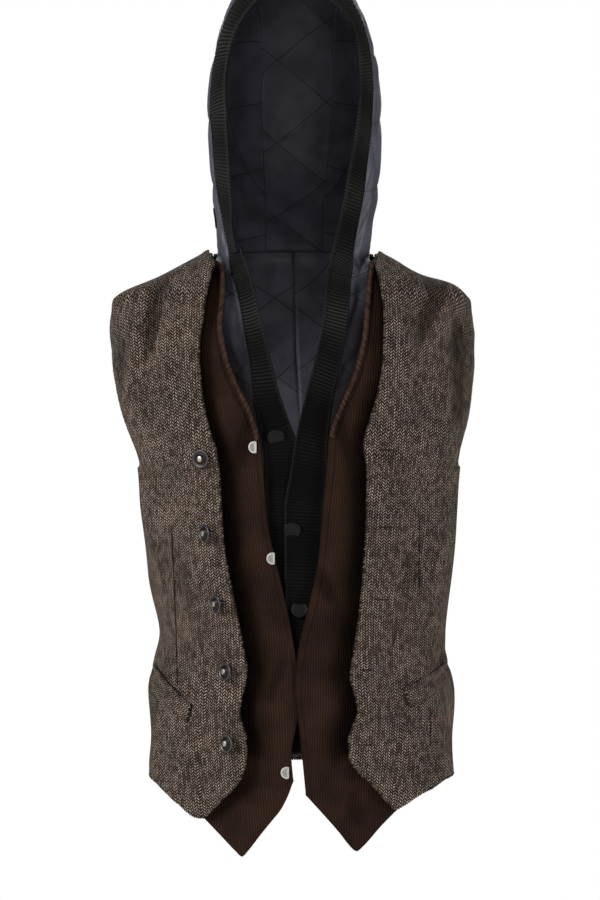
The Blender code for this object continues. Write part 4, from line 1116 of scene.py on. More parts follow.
for name, side in SIDES.items():
    grid, lift, move, _ = cord_fronts[name]
    rows = slice(*(int(np.argmax(grid[:, 0, 2] > height)) for height in (BINDING_FOOT, BINDING_HEAD)))
    place_on = rows, run_along(grid, 1), np.linspace(0, BINDING_WIDTH, len(BINDING_CROWN))
    strip = on_form(np.stack([on_strip(grid[..., k], *place_on) for k in range(3)], axis=-1))
    base = lift(strip) + CORD_WALL + BINDING_CLEARANCE + on_strip(move, *place_on)
    outer = raised(strip, base + BINDING_WALL * STRIP_SHARE + BINDING_CROWN)
    flat = np.stack(np.meshgrid(place_on[2], run_along(strip[:, 2])), axis=-1)
    cloth(f"neck_binding_{name}", f"cord_binding_{name}", "corduroy", corduroy, outer, raised(strip, base), flat,
          [f"corduroy_front_{name}"], turned_in=BINDING_TURNED_IN,
          marks={"from_edge": 0 * base + OFF_FACING, "cord_painted_shade": 0 * base})
    line = raised(strip[:, 2], base[:, 2] + BINDING_WALL)
    lay_yarn(f"neck_ridges_{name}", "corduroy", corduroy_yarn, [(line, outward(strip[:, 2]))], RIDGE_PITCH,
             RIDGE_SIZE, slant=-side * RIDGE_SLANT, uneven=0.08, seed=3)

# %% [markdown]
# ## Tweed fronts and backs
#
# The tweed hangs outermost. Its free front edges wave in and out and stand well off the corduroy,
# which is what throws the dark line between the two. The waist is shaped by long darts, and the
# folds run down from the shoulders, so the tables follow those that show and invent quieter ones
# behind.

# %% Creases of the tweed
TWEED_CREASES = {
    "right": (
        (-147, -58, -158, -122, 4, 7, -7.0), (-128, -62, -140, -150, 3, 9, 4.4), (-166, -72, -174, -168, 3, 7, 5.6),
        (-183, -108, -188, -190, 2, 6, -6.0), (-104, -50, -118, -170, 6, 12, 2.0),
        (-139, -310, -132, -492, 0, 2.6, -1.4), (-122, -500, -162, -462, 0, 4.0, -2.4),
        (-160, -250, -146, -330, 4, 14, 1.6), (-118, -600, -96, -520, 6, 16, 2.2),
        (-150, -560, -140, -500, 3, 10, -2.0), (-168, -430, -150, -470, 4, 9, -2.0),
        (-100, -420, -118, -330, 6, 16, -1.6), (-112, -220, -104, -150, 4, 14, 1.6),
    ),
    "left": (
        (132, -46, 130, -112, -3, 7, -6.0), (112, -44, 104, -128, -4, 9, 3.4), (150, -50, 143, -116, -3, 7, 5.6),
        (163, -66, 168, -186, -3, 7, -7.0), (181, -84, 186, -176, -3, 6, 4.6), (135, -300, 136, -384, 0, 2.6, -1.4),
        (147, -504, 148, -560, 0, 2.4, -1.2), (126, -488, 168, -460, 0, 4.0, -2.4), (152, -260, 140, -345, -4, 14, 1.6),
        (116, -592, 94, -520, -6, 16, 2.2), (158, -440, 140, -478, -4, 9, -2.0), (104, -430, 120, -340, -5, 15, -1.6),
        (110, -230, 106, -150, -4, 14, 1.6),
    ),
    #  as they would show from behind: long folds from the shoulder blades and drag lines at the waist
    "back": (
        (-120, -70, -70, -180, 10, 16, 1.8), (112, -66, 64, -190, -12, 16, 1.8), (-150, -110, -160, -210, 4, 10, -2.0),
        (154, -118, 162, -200, -4, 10, -2.0), (-96, -420, -60, -540, 8, 18, 2.4), (104, -400, 70, -536, -8, 18, 2.2),
        (-140, -400, -104, -430, 5, 12, -2.2), (146, -410, 108, -436, -5, 12, -2.2),
        (-130, -470, -80, -452, 6, 11, 1.8), (-30, -560, -22, -470, 3, 14, 1.6), (40, -575, 30, -480, -3, 12, -1.6),
    ),
}

# %% Build the tweed fronts
TWEED_SPACING, TWEED_RIPPLE, SLACK_GAIN, TWEED_FOLD_SHADE_DEPTH, FREE_ARMHOLE = 3.0, 0.7, 2.2, 3.5, UNDERARM + 2
LEAST_ROOM, TROUGH_ROOM = 0.2, 4.4  # how deep a fold may sink at the seams, and how much deeper away from them
tweed_outer, overcast = {}, []
for name, side in SIDES.items():
    lift = tweed_lift(name)
    curves = front_curves(side, TWEED_EDGE[name], TWEED_NECK_STEP, TWEED_HEM[name], TWEED_SIDE_HEM, lift, TWEED_WALL)
    grid = drawn_in(panel_grid(curves, TWEED_SPACING), "right", "top")
    slack = looseness(grid)
    move = (creased(grid, TWEED_CREASES[name]) + ripple(grid, TWEED_RIPPLE)) * np.minimum(1, SLACK_GAIN * slack)
    room = LEAST_ROOM + TROUGH_ROOM * slack
    move = np.where(move < 0, -room * np.tanh(-move / room), move)
    outer, inner = raised(grid, lift(grid) + TWEED_WALL + move), raised(grid, lift(grid) + move)
    # the mark paints shade into the tweed's colour where a fold sinks in
    cloth(f"tweed_front_cloth_{name}", f"tweed_front_{name}", "tweed", tweed, outer, inner, laid_flat(grid),
          [f"corduroy_front_{name}"], marks={"tweed_fold_shade": eased(-move / TWEED_FOLD_SHADE_DEPTH)})
    tweed_outer[name] = outer
    middle, ways = (outer + inner) / 2, outward(grid)
    armhole = grid[:, -1, 2] > FREE_ARMHOLE
    overcast += [(middle[:, 0], ways[:, 0]), (middle[0], ways[0]), (middle[armhole, -1], ways[armhole, -1])]
    print("folds of the", name, "front run in and out by", round(float(move.min()), 1), round(float(move.max()), 1))


# %% Build the backs
def neck_behind(t):
    """The neck seam behind, from the left shoulder seam round to the right one."""
    return place(90 + 180 * t, NECK_SIDE + (NAPE - NECK_SIDE) * np.sin(np.pi * t))


BACK_HEM_DIP, ON_SHOULDER, BACK_COLUMNS, BACK_RIPPLE, SHALLOW = 3.0, 5, 18, 0.6, -1.2


def back_curves(side_hem):
    """The edges of a whole back, from the left side seam round to the right one."""
    def hem(u):
        return place(90 + 180 * u, side_hem - BACK_HEM_DIP * np.sin(np.pi * u))

    def top(u):
        at = u * BACK_COLUMNS
        near, far = shoulder_seam(1)(1 - at / ON_SHOULDER), shoulder_seam(-1)(1 - (BACK_COLUMNS - at) / ON_SHOULDER)
        neck = neck_behind(np.clip((at - ON_SHOULDER) / (BACK_COLUMNS - 2 * ON_SHOULDER), 0, 1))
        points = np.where((at < ON_SHOULDER)[:, None], near, neck)
        return np.where((at > BACK_COLUMNS - ON_SHOULDER)[:, None], far, points)

    return side_edge(1, -1, side_hem), side_edge(-1, -1, side_hem), hem, top


def back_halves(side_hem, spacing):
    """The grids of the two halves, which meet at the centre seam."""
    left, right, bottom, top = back_curves(side_hem)
    v = even_steps(spacing, left, right)
    half = even_steps(spacing, lambda t: bottom(t / 2), lambda t: top(t / 2))
    u = np.concatenate([half / 2, 1 - half[-2::-1] / 2])
    grid = evened(patch(left(v), right(v), bottom(u), top(u), u, v), 2)
    halves = {"left": grid[:, :len(half)], "right": grid[:, len(half) - 1:]}
    return {name: drawn_in(half_grid, "left", "right", "top") for name, half_grid in halves.items()}


for name, grid in back_halves(TWEED_SIDE_HEM, TWEED_SPACING).items():
    slack = looseness(grid)
    move = creased(grid, TWEED_CREASES["back"], ahead=False) * slack + ripple(grid, BACK_RIPPLE) * slack
    move = np.maximum(move, SHALLOW)
    outer = raised(grid, lift_tweed_back(grid) + TWEED_WALL + move)
    inner = raised(grid, lift_tweed_back(grid) + move)
    cloth(f"tweed_back_cloth_{name}", f"tweed_back_{name}", "tweed", tweed, outer, inner, laid_flat(grid),
          [f"nylon_back_{name}"])
    middle, ways = (outer + inner) / 2, outward(grid)
    column = 0 if name == "left" else -1
    armhole = grid[:, column, 2] > FREE_ARMHOLE
    overcast += [(middle[0], ways[0]), (middle[armhole, column], ways[armhole, column])]

# %% Overcast the free edges of the tweed
lay_yarn("tweed_edge_yarn", "tweed", tweed_yarn, overcast, 2.8, (4.2, 2.2, 2.9), slant=0.6, uneven=0.12, seed=7)


# %% [markdown]
# ## Welt pockets
#
# A welt is a folded strip sewn over a slanted cut, with its own weave turned to run along it. It is
# laid on the tweed by looking straight in at the front from outside, so it follows every crease.

# %% Look for the surface of a panel
FAR_OUT = 400


class Surface:
    """The outer face of a panel, to lay small pieces on."""

    def __init__(self, outer):
        quads = quads_of(*outer.shape[:2]).tolist()
        self.tree = BVHTree.FromPolygons([Vector(p) for p in outer.reshape(-1, 3)], quads)

    def hit(self, start, way):
        """The point met from start along way, and how the surface faces there."""
        point, normal, _, _ = self.tree.ray_cast(Vector(start), Vector(way))
        normal = normal if normal.dot(Vector(way)) < 0 else -normal
        return np.array(point), np.array(normal)

    def seen(self, x, z):
        return self.hit((x, -FAR_OUT, z), (0, 1, 0))

    def line(self, xs, zs):
        """The path of points and facings over places seen from the front."""
        points, ways = zip(*(self.seen(x, z) for x, z in zip(xs, zs)))
        return np.array(points), np.array(ways)


# %% Build the welts
surfaces = {name: Surface(outer) for name, outer in tweed_outer.items()}
#  corners as they show: top at the inner and the outer end, bottom at the inner and the outer end
WELTS = {
    "right": ((-121, -505), (-157, -468), (-125, -524), (-163, -491)),
    "left": ((124, -490), (164, -464), (130, -508), (169, -483)),
}
WELT_WALL, WELT_CLEARANCE, WELT_ROWS, WELT_COLUMNS, WELT_SEARCH = 2.3, 1.3, 13, 34, 90
MOUTH_PUFF, FOLD_PUFF = 0.9, 0.5
for name, corners in WELTS.items():
    surface = surfaces[name]
    a, b, c, d = (spot(surface.seen(*corner)[0]) for corner in corners)
    across, down = np.linspace(0, 1, WELT_COLUMNS)[None, :, None], np.linspace(0, 1, WELT_ROWS)[:, None, None]
    spots = (1 - down) * ((1 - across) * a + across * b) + down * ((1 - across) * c + across * d)
    bases = place(spots[..., 0], spots[..., 1])
    ways = outward(bases)
    found = np.array([
        [surface.hit(p + way * WELT_SEARCH, -way)[0] for p, way in zip(*rows)] for rows in zip(bases, ways)
    ])
    mouth = MOUTH_PUFF * np.exp(-(down[..., 0] * 18 / 4) ** 2) * np.sin(np.pi * across[..., 0]) ** 0.5
    fold = WELT_WALL + mouth + FOLD_PUFF * np.sin(np.pi * down[..., 0]) ** 0.5
    flat = np.stack([run_along(found, 0), run_along(found, 1)], axis=-1)
    outer = found + ways * (WELT_CLEARANCE + fold)[..., None]
    cloth(f"welt_{name}", f"tweed_welt_{name}", "tweed", tweed, outer, found + ways * WELT_CLEARANCE, flat,
          [f"tweed_front_cloth_{name}"])
    sewn = (outer + found) / 2
    paths = [(sewn[edge], ways[edge]) for edge in (np.s_[-1], np.s_[:, 0], np.s_[:, -1])]
    lay_yarn(f"welt_stitches_{name}", "tweed", dark_thread, paths, 2.6, (2.5, 1.7, 1.9), slant=0.2, along_path=True)

# %% Dart seams of the waist
#  from sideways place, from height, to sideways place, to height
DARTS = {"right": ((-137, -313, -131, -486),), "left": ((134, -302, 134, -380), (146, -510, 147, -550))}
t = np.linspace(0, 1, 40)
dart_lines = [
    surfaces[name].line(x0 + (x1 - x0) * t, z0 + (z1 - z0) * t)
    for name, rows in DARTS.items() for x0, z0, x1, z1 in rows
]
lay_yarn("dart_seams", "tweed", dark_thread, dart_lines, 2.0, (2.8, 1.5, 2.2), along_path=True)

# %% [markdown]
# ## Rib-knit trim
#
# One strip of black rib knit edges the hood's face opening and both inner fronts. Knit ribs are a
# real relief, deep enough to break the outline, so the strip is a grid fine enough to hold a ridge
# every few millimetres along it. The ribs lean a little, by an amount that changes along the strip,
# as they do where a stretchy band is eased round a curve.

# %% Sizes of the trim
#  height, sideways place of the free edge on the right and on the left
FACE_EDGE = (
    (NECK_FRONT, -53, 34), (8, -61, 41), (51, -67, 51), (95, -72, 58), (139, -75, 65),
    (183, -76, 68), (219, -71, 66), (245, -61, 59), (265, -47, 43), (281, -27, 22),
)
FACE_TOP = (-3, 288)
V_FOOT = -556
V_EDGE = (
    (V_FOOT, 8, -12), (-290, 8, -12), (-250, 4, -6), (-218, -1, -1), (-193, -10, 4), (-161, -21, 12),
    (-128, -29, 21), (-95, -38, 28), (-61, -46, 32), (NECK_FRONT, -53, 34),
)
#  height, width on the right and on the left, how far the free edge stands out on the right and on the left
TRIM = (
    (V_FOOT, 42, 42, 0, 0), (-290, 42, 42, 0, 0), (-215, 34, 34, 0, 0), (-170, 29, 29, 5, 2), (-120, 26, 26, 14, 4),
    (-60, 26, 26, 19, 5), (0, 26, 26, 17, 4), (60, 33, 26, 7, 2), (120, 39, 26, 2, 2), (160, 44, 26, 2, 2),
    (240, 42, 28, 2, 2), (288, 33, 33, 2, 2),
)
RIB_PITCH, RIB_DEPTH, RIB_FOOT, RIB_SPACING, STATIONS = 3.9, 1.0, 0.35, 0.8, 6
#  share of the way round the face from the right to the left, how far a rib leans over the trim's width
BAND_LEAN = ((0, 8), (0.2, 3), (0.35, 0), (0.5, 4), (0.65, 15), (0.8, 9), (1, 3))
FRONT_LEAN = {"right": 5, "left": -2}
FACE_POINTS = [(row[1], row[0]) for row in FACE_EDGE] + [FACE_TOP] + [(row[2], row[0]) for row in FACE_EDGE[::-1]]


# %% The trim on the form
def trim_lines(edge, tangent, side):
    """Points across the trim, from its free edge to its seam, on the form."""
    columns = [through(TRIM, column, edge[:, 2]) for column in (1, 2, 3, 4)]
    width, stand = np.where(side < 0, columns[0], columns[1]), np.where(side < 0, columns[2], columns[3])
    spread = np.sqrt(width ** 2 - stand ** 2)
    across = unit(np.cross(tangent, outward(edge)))
    lines = [edge]
    for _ in range(STATIONS):
        p = on_form(lines[-1] + across * spread[:, None] / STATIONS)
        across = unit(p - lines[-1])
        lines.append(p)
    return np.stack(lines, axis=1), stand


SHARE_STEP, FACE_MIDDLE = 0.004, -3


def band_lines(share):
    """The trim round the face at shares of its way from the right neck corner to the left one."""
    def edge(at):
        seen = along(FACE_POINTS, np.clip(at, 0, 1))
        return facing(seen[:, 0], seen[:, 1])

    points = edge(share)
    return trim_lines(points, edge(share - SHARE_STEP) - edge(share + SHARE_STEP), points[:, 0] - FACE_MIDDLE)


def knit_trim(name, node, rests_on, lines, stand, run, lean, lap):
    """A ribbed wall whose free edge stands out; run is the length along that edge. Returns its face."""
    t = np.linspace(0, 1, STATIONS + 1)
    profile = through(((0, 1), (0.5, 0.35), (1, 0)), 1, t)
    phase = (run[:, None] - lean[:, None] * t[None]) / RIB_PITCH
    ridge = 0.5 + 0.5 * np.cos(2 * np.pi * phase)
    chance = 0.5 + 0.5 * np.sin(12.9 * np.floor(phase + 0.5) + 4.1)
    height = RIB_DEPTH * (ridge ** 0.8) * (0.6 + 0.4 * chance)
    lift = stand[:, None] * profile[None] + lap[:, None]
    wobble = 0.5 * np.sin(run / 21.0) + 0.35 * np.sin(run / 8.3 + 1.0)
    lift = lift + (wobble[:, None] * (1 - t)[None] * np.minimum(1, stand / 4)[:, None])
    outer, inner = raised(lines, lift + RIB_WALL - RIB_FOOT + height), raised(lines, lift + RIB_FOOT - 0.6 * height)
    flat = np.stack([run_along(lines, 1), np.repeat(run[:, None], STATIONS + 1, axis=1)], axis=-1)
    # painted shade in the V, growing down from below the neck
    marks = {"ridge": ridge * (0.45 + 0.55 * chance), "painted_v_shade": eased((-70 - lines[..., 2]) / 120)}
    cloth(name, node, "rib_knit", rib_knit, outer, inner, flat, rests_on, "stretched", marks=marks, bulge=0.5)
    return outer


# %% Build the trim round the face
BAND_SAMPLES = 1600
dense = np.linspace(0, 1, BAND_SAMPLES)
length_round = run_along(band_lines(dense)[0][:, 0])
shares = np.interp(np.arange(0, length_round[-1], RIB_SPACING), length_round, dense)
lines, stand = band_lines(shares)
run = run_along(lines[:, 0])
knit_trim("rib_band_knit", "rib_hood_band", ["hood_side_cloth_right", "hood_side_cloth_left", "hood_gusset_cloth"],
          drawn_in(lines, "right", "bottom", "top"), stand, run, through(BAND_LEAN, 1, shares), 0 * stand)

# %% [markdown]
# ## The inner vest
#
# The nylon fronts start where the trim ends and close over the chest. Only a little of them shows,
# in the V beside the trim, but there they are pulled into long folds, so those folds are in the
# table. Quilting lines cross the nylon on the bias; the cloth puffs between them and pinches at them.

# %% Quilting
PUFF_REACH, PINCH_REACH, PUCKER_REACH, PUCKER = 11, 2.2, 7, 0.35


def quilt_fields(flat):
    """Two families of slanting lines; each field is a whole number on its lines."""
    x, y = flat[..., 0] * math.cos(QUILT_ANGLE), flat[..., 1] * math.sin(QUILT_ANGLE)
    return [(x + way * y) / QUILT_SPACING + QUILT_START for way in (1, -1)]


def let_go(distance, reach):
    """0 at a seam, 1 further than about reach from it."""
    return 1 - np.exp(-(distance / reach) ** 2)


def quilted(flat, puff, pinch):
    """How far the cloth puffs out between its quilting lines."""
    fields = quilt_fields(flat)
    away = np.minimum(*[np.abs(field - np.round(field)) * QUILT_SPACING for field in fields])
    along_line = fields[0] * 17 + fields[1] * 11
    pucker = PUCKER * np.sin(2 * np.pi * along_line) * np.exp(-(away / PUCKER_REACH) ** 2)
    return puff * let_go(away, PUFF_REACH) - pinch * np.exp(-(away / PINCH_REACH) ** 2) + pucker


def from_border(grid):
    """Distance from the nearest of the four edges, in millimetres."""
    found = []
    for axis in (0, 1):
        ahead = run_along(grid, axis)
        found += [ahead, np.take(ahead, [-1], axis=axis) - ahead]
    return np.min(found, axis=0)


def quilt_paths(flat, outer, ways, least=25.0):
    """The quilting lines as paths on the cloth."""
    paths = []
    for field in quilt_fields(flat):
        for level in range(math.ceil(field.min()), math.floor(field.max()) + 1):
            sign = np.sign(field - level)
            crossing = sign[:, :-1] * sign[:, 1:] < 0
            path = []
            for i in np.flatnonzero(crossing.any(axis=1)):
                j = np.argmax(crossing[i])
                t = (level - field[i, j]) / (field[i, j + 1] - field[i, j])
                path.append((outer[i, j] * (1 - t) + outer[i, j + 1] * t, ways[i, j]))
            if len(path) > 3:
                points, facings = (np.array(part) for part in zip(*path))
                if run_along(points)[-1] > least:
                    paths.append((points, facings))
    return paths


# %% Folds of the inner fronts, as they show in the V
NYLON_CREASES = {
    "right": (
        (-64, -52, -60, -100, 1, 3.6, -3.4), (-56, -44, -43, -118, 1, 4.5, 2.6), (-74, -42, -76, -90, 1, 5.0, 2.2),
        (-50, -150, -74, -118, 2, 3.2, -2.6), (-44, -120, -46, -190, 1, 3.0, -1.8),
    ),
    "left": (
        (70, -46, 46, -128, -2, 3.6, -3.4), (60, -44, 38, -124, -2, 4.5, 2.4), (76, -60, 56, -140, -2, 4.5, 2.4),
        (66, -120, 42, -160, -2, 3.4, -2.4),
    ),
}


# %% Edges of the inner fronts
NYLON_SIDE_HEM, NYLON_SPACING, NYLON_BACK_SPACING = -575.0, 3.6, 5.0
#  place up the trim at the height of the side's rows: height at the side, height at the trim's edge
NECK_ROW = -98.0
V_MATCH = ((NYLON_SIDE_HEM, V_FOOT), (-425, -300), (NECK_ROW, NECK_FRONT))
PULL_REACH = 26


def neck_ahead(side, corner):
    """The neck seam in front, from the trim's corner to the shoulder seam."""
    points = [spot(corner), (side * 62.0, -26.0), (side * 90.0, NECK_SIDE)]
    return lambda t: place(*along(points, t).T)


def front_trim(side, corner):
    """A function of heights of the free edge, for the points across the trim down a front."""
    def edge(height):
        return facing(through(V_EDGE, 1 if side < 0 else 2, height), height)

    def trim_at(z):
        lines, stand = trim_lines(edge(z), (edge(z + 1) - edge(z - 1)) * side, side + 0 * z)
        pull = eased((z - NECK_FRONT + PULL_REACH) / PULL_REACH)[:, None, None]
        pull = pull * np.linspace(0, 1, STATIONS + 1)[None, :, None]
        return lines + (corner - lines[-1, -1]) * pull, stand

    return trim_at


def nylon_curves(side, lines, ahead):
    """The edges of an inner front: the trim's seam and the neck, the side, the hem and the shoulder."""
    low = spot(lines[0, -1])

    def free_edge(v):
        at_side = NYLON_SIDE_HEM + v * (SHOULDER_TIP - NYLON_SIDE_HEM)
        z = np.interp(at_side, *zip(*V_MATCH))
        beside = np.stack([np.interp(z, lines[:, 0, 2], lines[:, -1, k]) for k in range(3)], axis=-1)
        above = ahead(np.clip((at_side - NECK_ROW) / (SHOULDER_TIP - NECK_ROW), 0, 1))
        return np.where((at_side > NECK_ROW)[:, None], above, beside)

    def hem(u):
        return place(low[0] + (side * 90 - low[0]) * u, low[1] + (NYLON_SIDE_HEM - low[1]) * u)

    return free_edge, side_edge(side, 1, NYLON_SIDE_HEM), hem, shoulder_seam(side)


# %% Build the inner fronts and their trim
#  height where the shade in the V begins, and how far down it grows
V_SHADE = {"right": (-35, 95), "left": (-20, 70)}
FRONT_SAMPLES = 1200
necks, trim_faces = {}, {}
for name, side in SIDES.items():
    corner = band_lines(np.array([0.0 if side < 0 else 1.0]))[0][0, -1]
    trim_at = front_trim(side, corner)
    dense = np.linspace(V_FOOT, NECK_FRONT, FRONT_SAMPLES)
    edge_run = run_along(trim_at(dense)[0][:, 0])
    heights = np.interp(np.arange(0, edge_run[-1] + RIB_SPACING, RIB_SPACING), edge_run, dense)
    lines, stand = trim_at(heights)
    lap = (LAP_LIFT if side > 0 else 0) * eased((LAP_TOP - heights) / LAP_REACH)
    trim_faces[name] = knit_trim(
        f"rib_front_knit_{name}", f"rib_front_{name}", [f"nylon_front_cloth_{name}"], drawn_in(lines, "right", "top"),
        stand, run_along(lines[:, 0]), FRONT_LEAN[name] + 0 * heights, lap)
    necks[name] = neck_ahead(side, corner)

    curves = nylon_curves(side, lines, necks[name])
    grid = drawn_in(panel_grid(curves, NYLON_SPACING), "left", "right", "top")
    flat = laid_flat(grid)
    slack = looseness(grid) * let_go(from_border(grid), 5)
    move = (quilted(flat, puff=1.3, pinch=1.0) + creased(grid, NYLON_CREASES[name])) * slack
    outer, inner = raised(grid, NYLON_WALL + move), raised(grid, np.minimum(0.6 * move, 0))
    start, depth = V_SHADE[name]
    # painted shade darkens the nylon fronts deeper in the V
    cloth(f"nylon_front_cloth_{name}", f"nylon_front_{name}", "nylon", dull_shaded_nylon, outer, inner, flat, [],
          marks={"painted_v_shade": eased((start - outer[..., 2]) / depth)})

# %% Build the inner backs
for name, grid in back_halves(NYLON_SIDE_HEM, NYLON_BACK_SPACING).items():
    flat = laid_flat(grid, spacing=14.0)
    slack = looseness(grid) * let_go(from_border(grid), 6)
    puff = quilted(flat, puff=1.2, pinch=0.8)
    cloth(f"nylon_back_cloth_{name}", f"nylon_back_{name}", "nylon", nylon, raised(grid, NYLON_WALL + puff * slack),
          raised(grid, -0.8 * puff * slack), flat, [])

# %% [markdown]
# ## The hood
#
# The hood is cut in three: two sides and a strip over the crown. Its seams are found on the form
# first, because the three panels and the trim all have to meet on them. The puffs between the
# quilting lines reach further out here, where nothing lies on top.

# %% Seams of the hood
GUSSET_SHARE, GUSSET_HALF_WIDTH, HALVINGS = 0.375, 42.0, 40
UP = np.array([0.0, 0.0, 0.3])


def crown(x, sweep):
    """The hood's points at x, in a direction that turns from the back over the crown to the front."""
    turn = np.radians(sweep)
    near, far = 0 * turn, 0 * turn + FAR_OUT
    for _ in range(HALVINGS):
        reach = (near + far) / 2
        p = np.stack([x + 0 * turn, HOOD_CENTRE_Y + reach * np.cos(turn), WIDEST_HOOD + reach * np.sin(turn)], -1)
        inside = gauge(p) < 1
        near, far = np.where(inside, reach, near), np.where(inside, far, reach)
    return p


def sweep_of(p):
    return math.degrees(math.atan2(p[2] - WIDEST_HOOD, p[1] - HOOD_CENTRE_Y))


def nape_turn(side):
    return 0.5 - side / 8


def gusset_seam(side):
    """The seam beside the crown strip, from the trim over the crown to the nape."""
    share = GUSSET_SHARE if side < 0 else 1 - GUSSET_SHARE
    corner = band_lines(np.array([share]))[0][0, -1]
    nape = neck_behind(np.array([nape_turn(side)]))[0]

    def seam(w):
        x = corner[0] + (side * GUSSET_HALF_WIDTH - corner[0]) * eased(w * 3)
        x = x + (nape[0] - side * GUSSET_HALF_WIDTH) * eased(w * 2 - 1)
        return crown(x, sweep_of(corner) + (sweep_of(nape) - sweep_of(corner)) * w)

    return seam


def hood_side_curves(name):
    """The trim's seam, the neck seam behind, the neck seam in front and the crown seam."""
    side = SIDES[name]

    def face(v):
        share = v * GUSSET_SHARE
        return band_lines(share if side < 0 else 1 - share)[0][:, -1]

    def behind(v):
        start = 0.0 if side > 0 else 1.0
        return neck_behind(start + (nape_turn(side) - start) * v) + UP

    return face, behind, lambda u: necks[name](u) + UP, gusset_seam(side)


def gusset_curves():
    def front(u):
        return band_lines(GUSSET_SHARE + (1 - 2 * GUSSET_SHARE) * u)[0][:, -1]

    return gusset_seam(-1), gusset_seam(1), front, lambda u: neck_behind(0.5 + (0.5 - u) / 4) + UP


# %% Creases of the hood
#  as they show from the front, beside the trim
HOOD_CREASES = {
    "right": ((-86, 40, -78, -20, 1, 5, -2.4), (-90, 150, -84, 70, 1, 6, 1.6)),
    "left": (
        (84, 60, 66, -20, -2, 5, -3.0), (72, 170, 62, 96, -1, 5, -2.0), (82, 230, 78, 150, -1, 6, 2.0),
        (84, 110, 74, 30, -2, 6, 2.0),
    ),
}

# %% Build the hood
HOOD_SPACING, HOOD_ROUNDS, SEAM_GROOVE, GATHER_PITCH, GATHER_REACH = 3.6, 24, 0.8, 8.5, 7
hood_stitches, hood_faces = [], {}
for name, node, curves, creases, rounds in (
    ("hood_side_cloth_right", "hood_side_right", hood_side_curves("right"), HOOD_CREASES["right"], HOOD_ROUNDS),
    ("hood_side_cloth_left", "hood_side_left", hood_side_curves("left"), HOOD_CREASES["left"], HOOD_ROUNDS),
    ("hood_gusset_cloth", "hood_gusset", gusset_curves(), (), 0),
):
    grid = drawn_in(panel_grid(curves, HOOD_SPACING, rounds), "left", "right", "bottom", "top")
    flat = laid_flat(grid, spacing=10.0)
    border = from_border(grid)
    slack = let_go(border, 7)
    puff = quilted(flat, puff=1.9, pinch=1.3)
    gather = np.sin(2 * np.pi * (flat[..., 0] + 0.4 * flat[..., 1]) / GATHER_PITCH)
    gather = 1.5 * gather * np.exp(-border / GATHER_REACH) * slack
    move = puff * slack + gather + creased(grid, creases) * slack
    groove = SEAM_GROOVE * np.exp(-(border / 2) ** 2)
    outer, inner = raised(grid, NYLON_WALL + move - groove), raised(grid, -0.5 * puff * slack)
    cloth(name, node, "nylon", nylon, outer, inner, flat, [])
    ways = outward(grid)
    hood_stitches += quilt_paths(flat, outer + ways * 0.15, ways)
    hood_faces[name] = outer
lay_yarn("hood_quilting", "nylon", slate_thread, hood_stitches, 4.4, (3.0, 0.7, 0.7), along_path=True)

# %% The small tab on the hood's right side
TAB_HEIGHT, TAB_WALL, TAB_WIDTH, TAB_LENGTH, TAB_SINK, TAB_TURNED_IN = 36.0, 1.2, 9.0, 22.0, 0.2, 1.5
hood_right = Surface(hood_faces["hood_side_cloth_right"])
across, upward = np.meshgrid(np.linspace(-0.5, 0.5, 7), np.linspace(-0.5, 0.5, 14))
found = np.array([
    [hood_right.hit((-FAR_OUT, TAB_WIDTH * j, TAB_HEIGHT + TAB_LENGTH * k), (1, 0, 0))[0] for j, k in zip(*rows)]
    for rows in zip(across, upward)
]) - np.array([TAB_SINK, 0, 0])
rounding = 0.5 * (1 - (2 * across) ** 4) * (1 - (2 * upward) ** 6)
outer = found - np.stack([TAB_WALL * 0.7 + rounding, 0 * across, 0 * across], axis=-1)
flat = np.stack([across * TAB_WIDTH, upward * TAB_LENGTH], axis=-1)
cloth("hood_tab_ribbon", "hood_tab", "rib_knit", rib_knit, outer, found, flat, ["hood_side_cloth_right"],
      turned_in=TAB_TURNED_IN, marks={"ridge": 0.4 + 0 * across}, bulge=0.4)

# %% [markdown]
# ## Buttons, studs and buttonholes
#
# The tweed buttons are turned shapes: a shank, a dished rim and a bright dome in the middle. The
# studs are flat on one side, like a letter D. Both are seated on the cloth by looking straight in
# at it, so they tilt with the edge they are sewn to.

# %% Turned pieces
SHANK_TOP, SHANK_REACH = 1.8, 6.0  # below this height a piece has the dish's colour
SMOOTHING = 3


def frame_at(normal):
    """Two directions in the cloth: sideways and up."""
    side = unit(np.cross((0.0, 0.0, 1.0), normal))
    side = side if side[0] > 0 else -side
    up = np.cross(normal, side)
    return side, up if up[2] > 0 else -up


def solid_of(name, node, slot, finish, rings, reach):
    """A closed solid from rings of points, closed by a point at each end; reach has one value a ring."""
    count, last = len(rings[0]), (len(rings) - 1) * len(rings[0])
    points = np.concatenate([[rings[0].mean(axis=0)], *rings, [rings[-1].mean(axis=0)]])
    faces = []
    for k in range(count):
        after = (k + 1) % count
        faces.append((0, 1 + after, 1 + k))
        for first in range(1, 1 + last, count):
            faces.append((first + k, first + after, first + count + after, first + count + k))
        faces.append((1 + last + k, 1 + last + after, len(points) - 1))
    mesh = bpy.data.meshes.new(name)
    mesh.from_pydata((points * MM).tolist(), [], faces)
    mesh.shade_smooth()
    reaches = np.concatenate([[reach[0]], np.repeat(reach, count), [0.0]])
    mesh.attributes.new("reach", "FLOAT", "POINT").data.foreach_set("value", reaches.astype(np.float32))
    mesh.materials.append(finish)
    fit(linked(name, mesh), slot, node)


def turned(name, node, slot, finish, outline, segments, point, normal):
    """A round piece on the cloth from its outline of radii and heights."""
    side, up = frame_at(normal)
    outline = np.array(outline, float)[1:-1]
    profile = along(outline, np.linspace(0, 1, SMOOTHING * len(outline)))
    around = np.linspace(0, 2 * np.pi, segments, endpoint=False)
    ring = np.cos(around)[:, None] * side + np.sin(around)[:, None] * up
    if np.dot(np.cross(side, up), normal) < 0:
        ring = ring[::-1]
    rings = [point + ring * radius + normal * height for radius, height in profile]
    solid_of(name, node, slot, finish, rings, [r if height > SHANK_TOP else SHANK_REACH for r, height in profile])


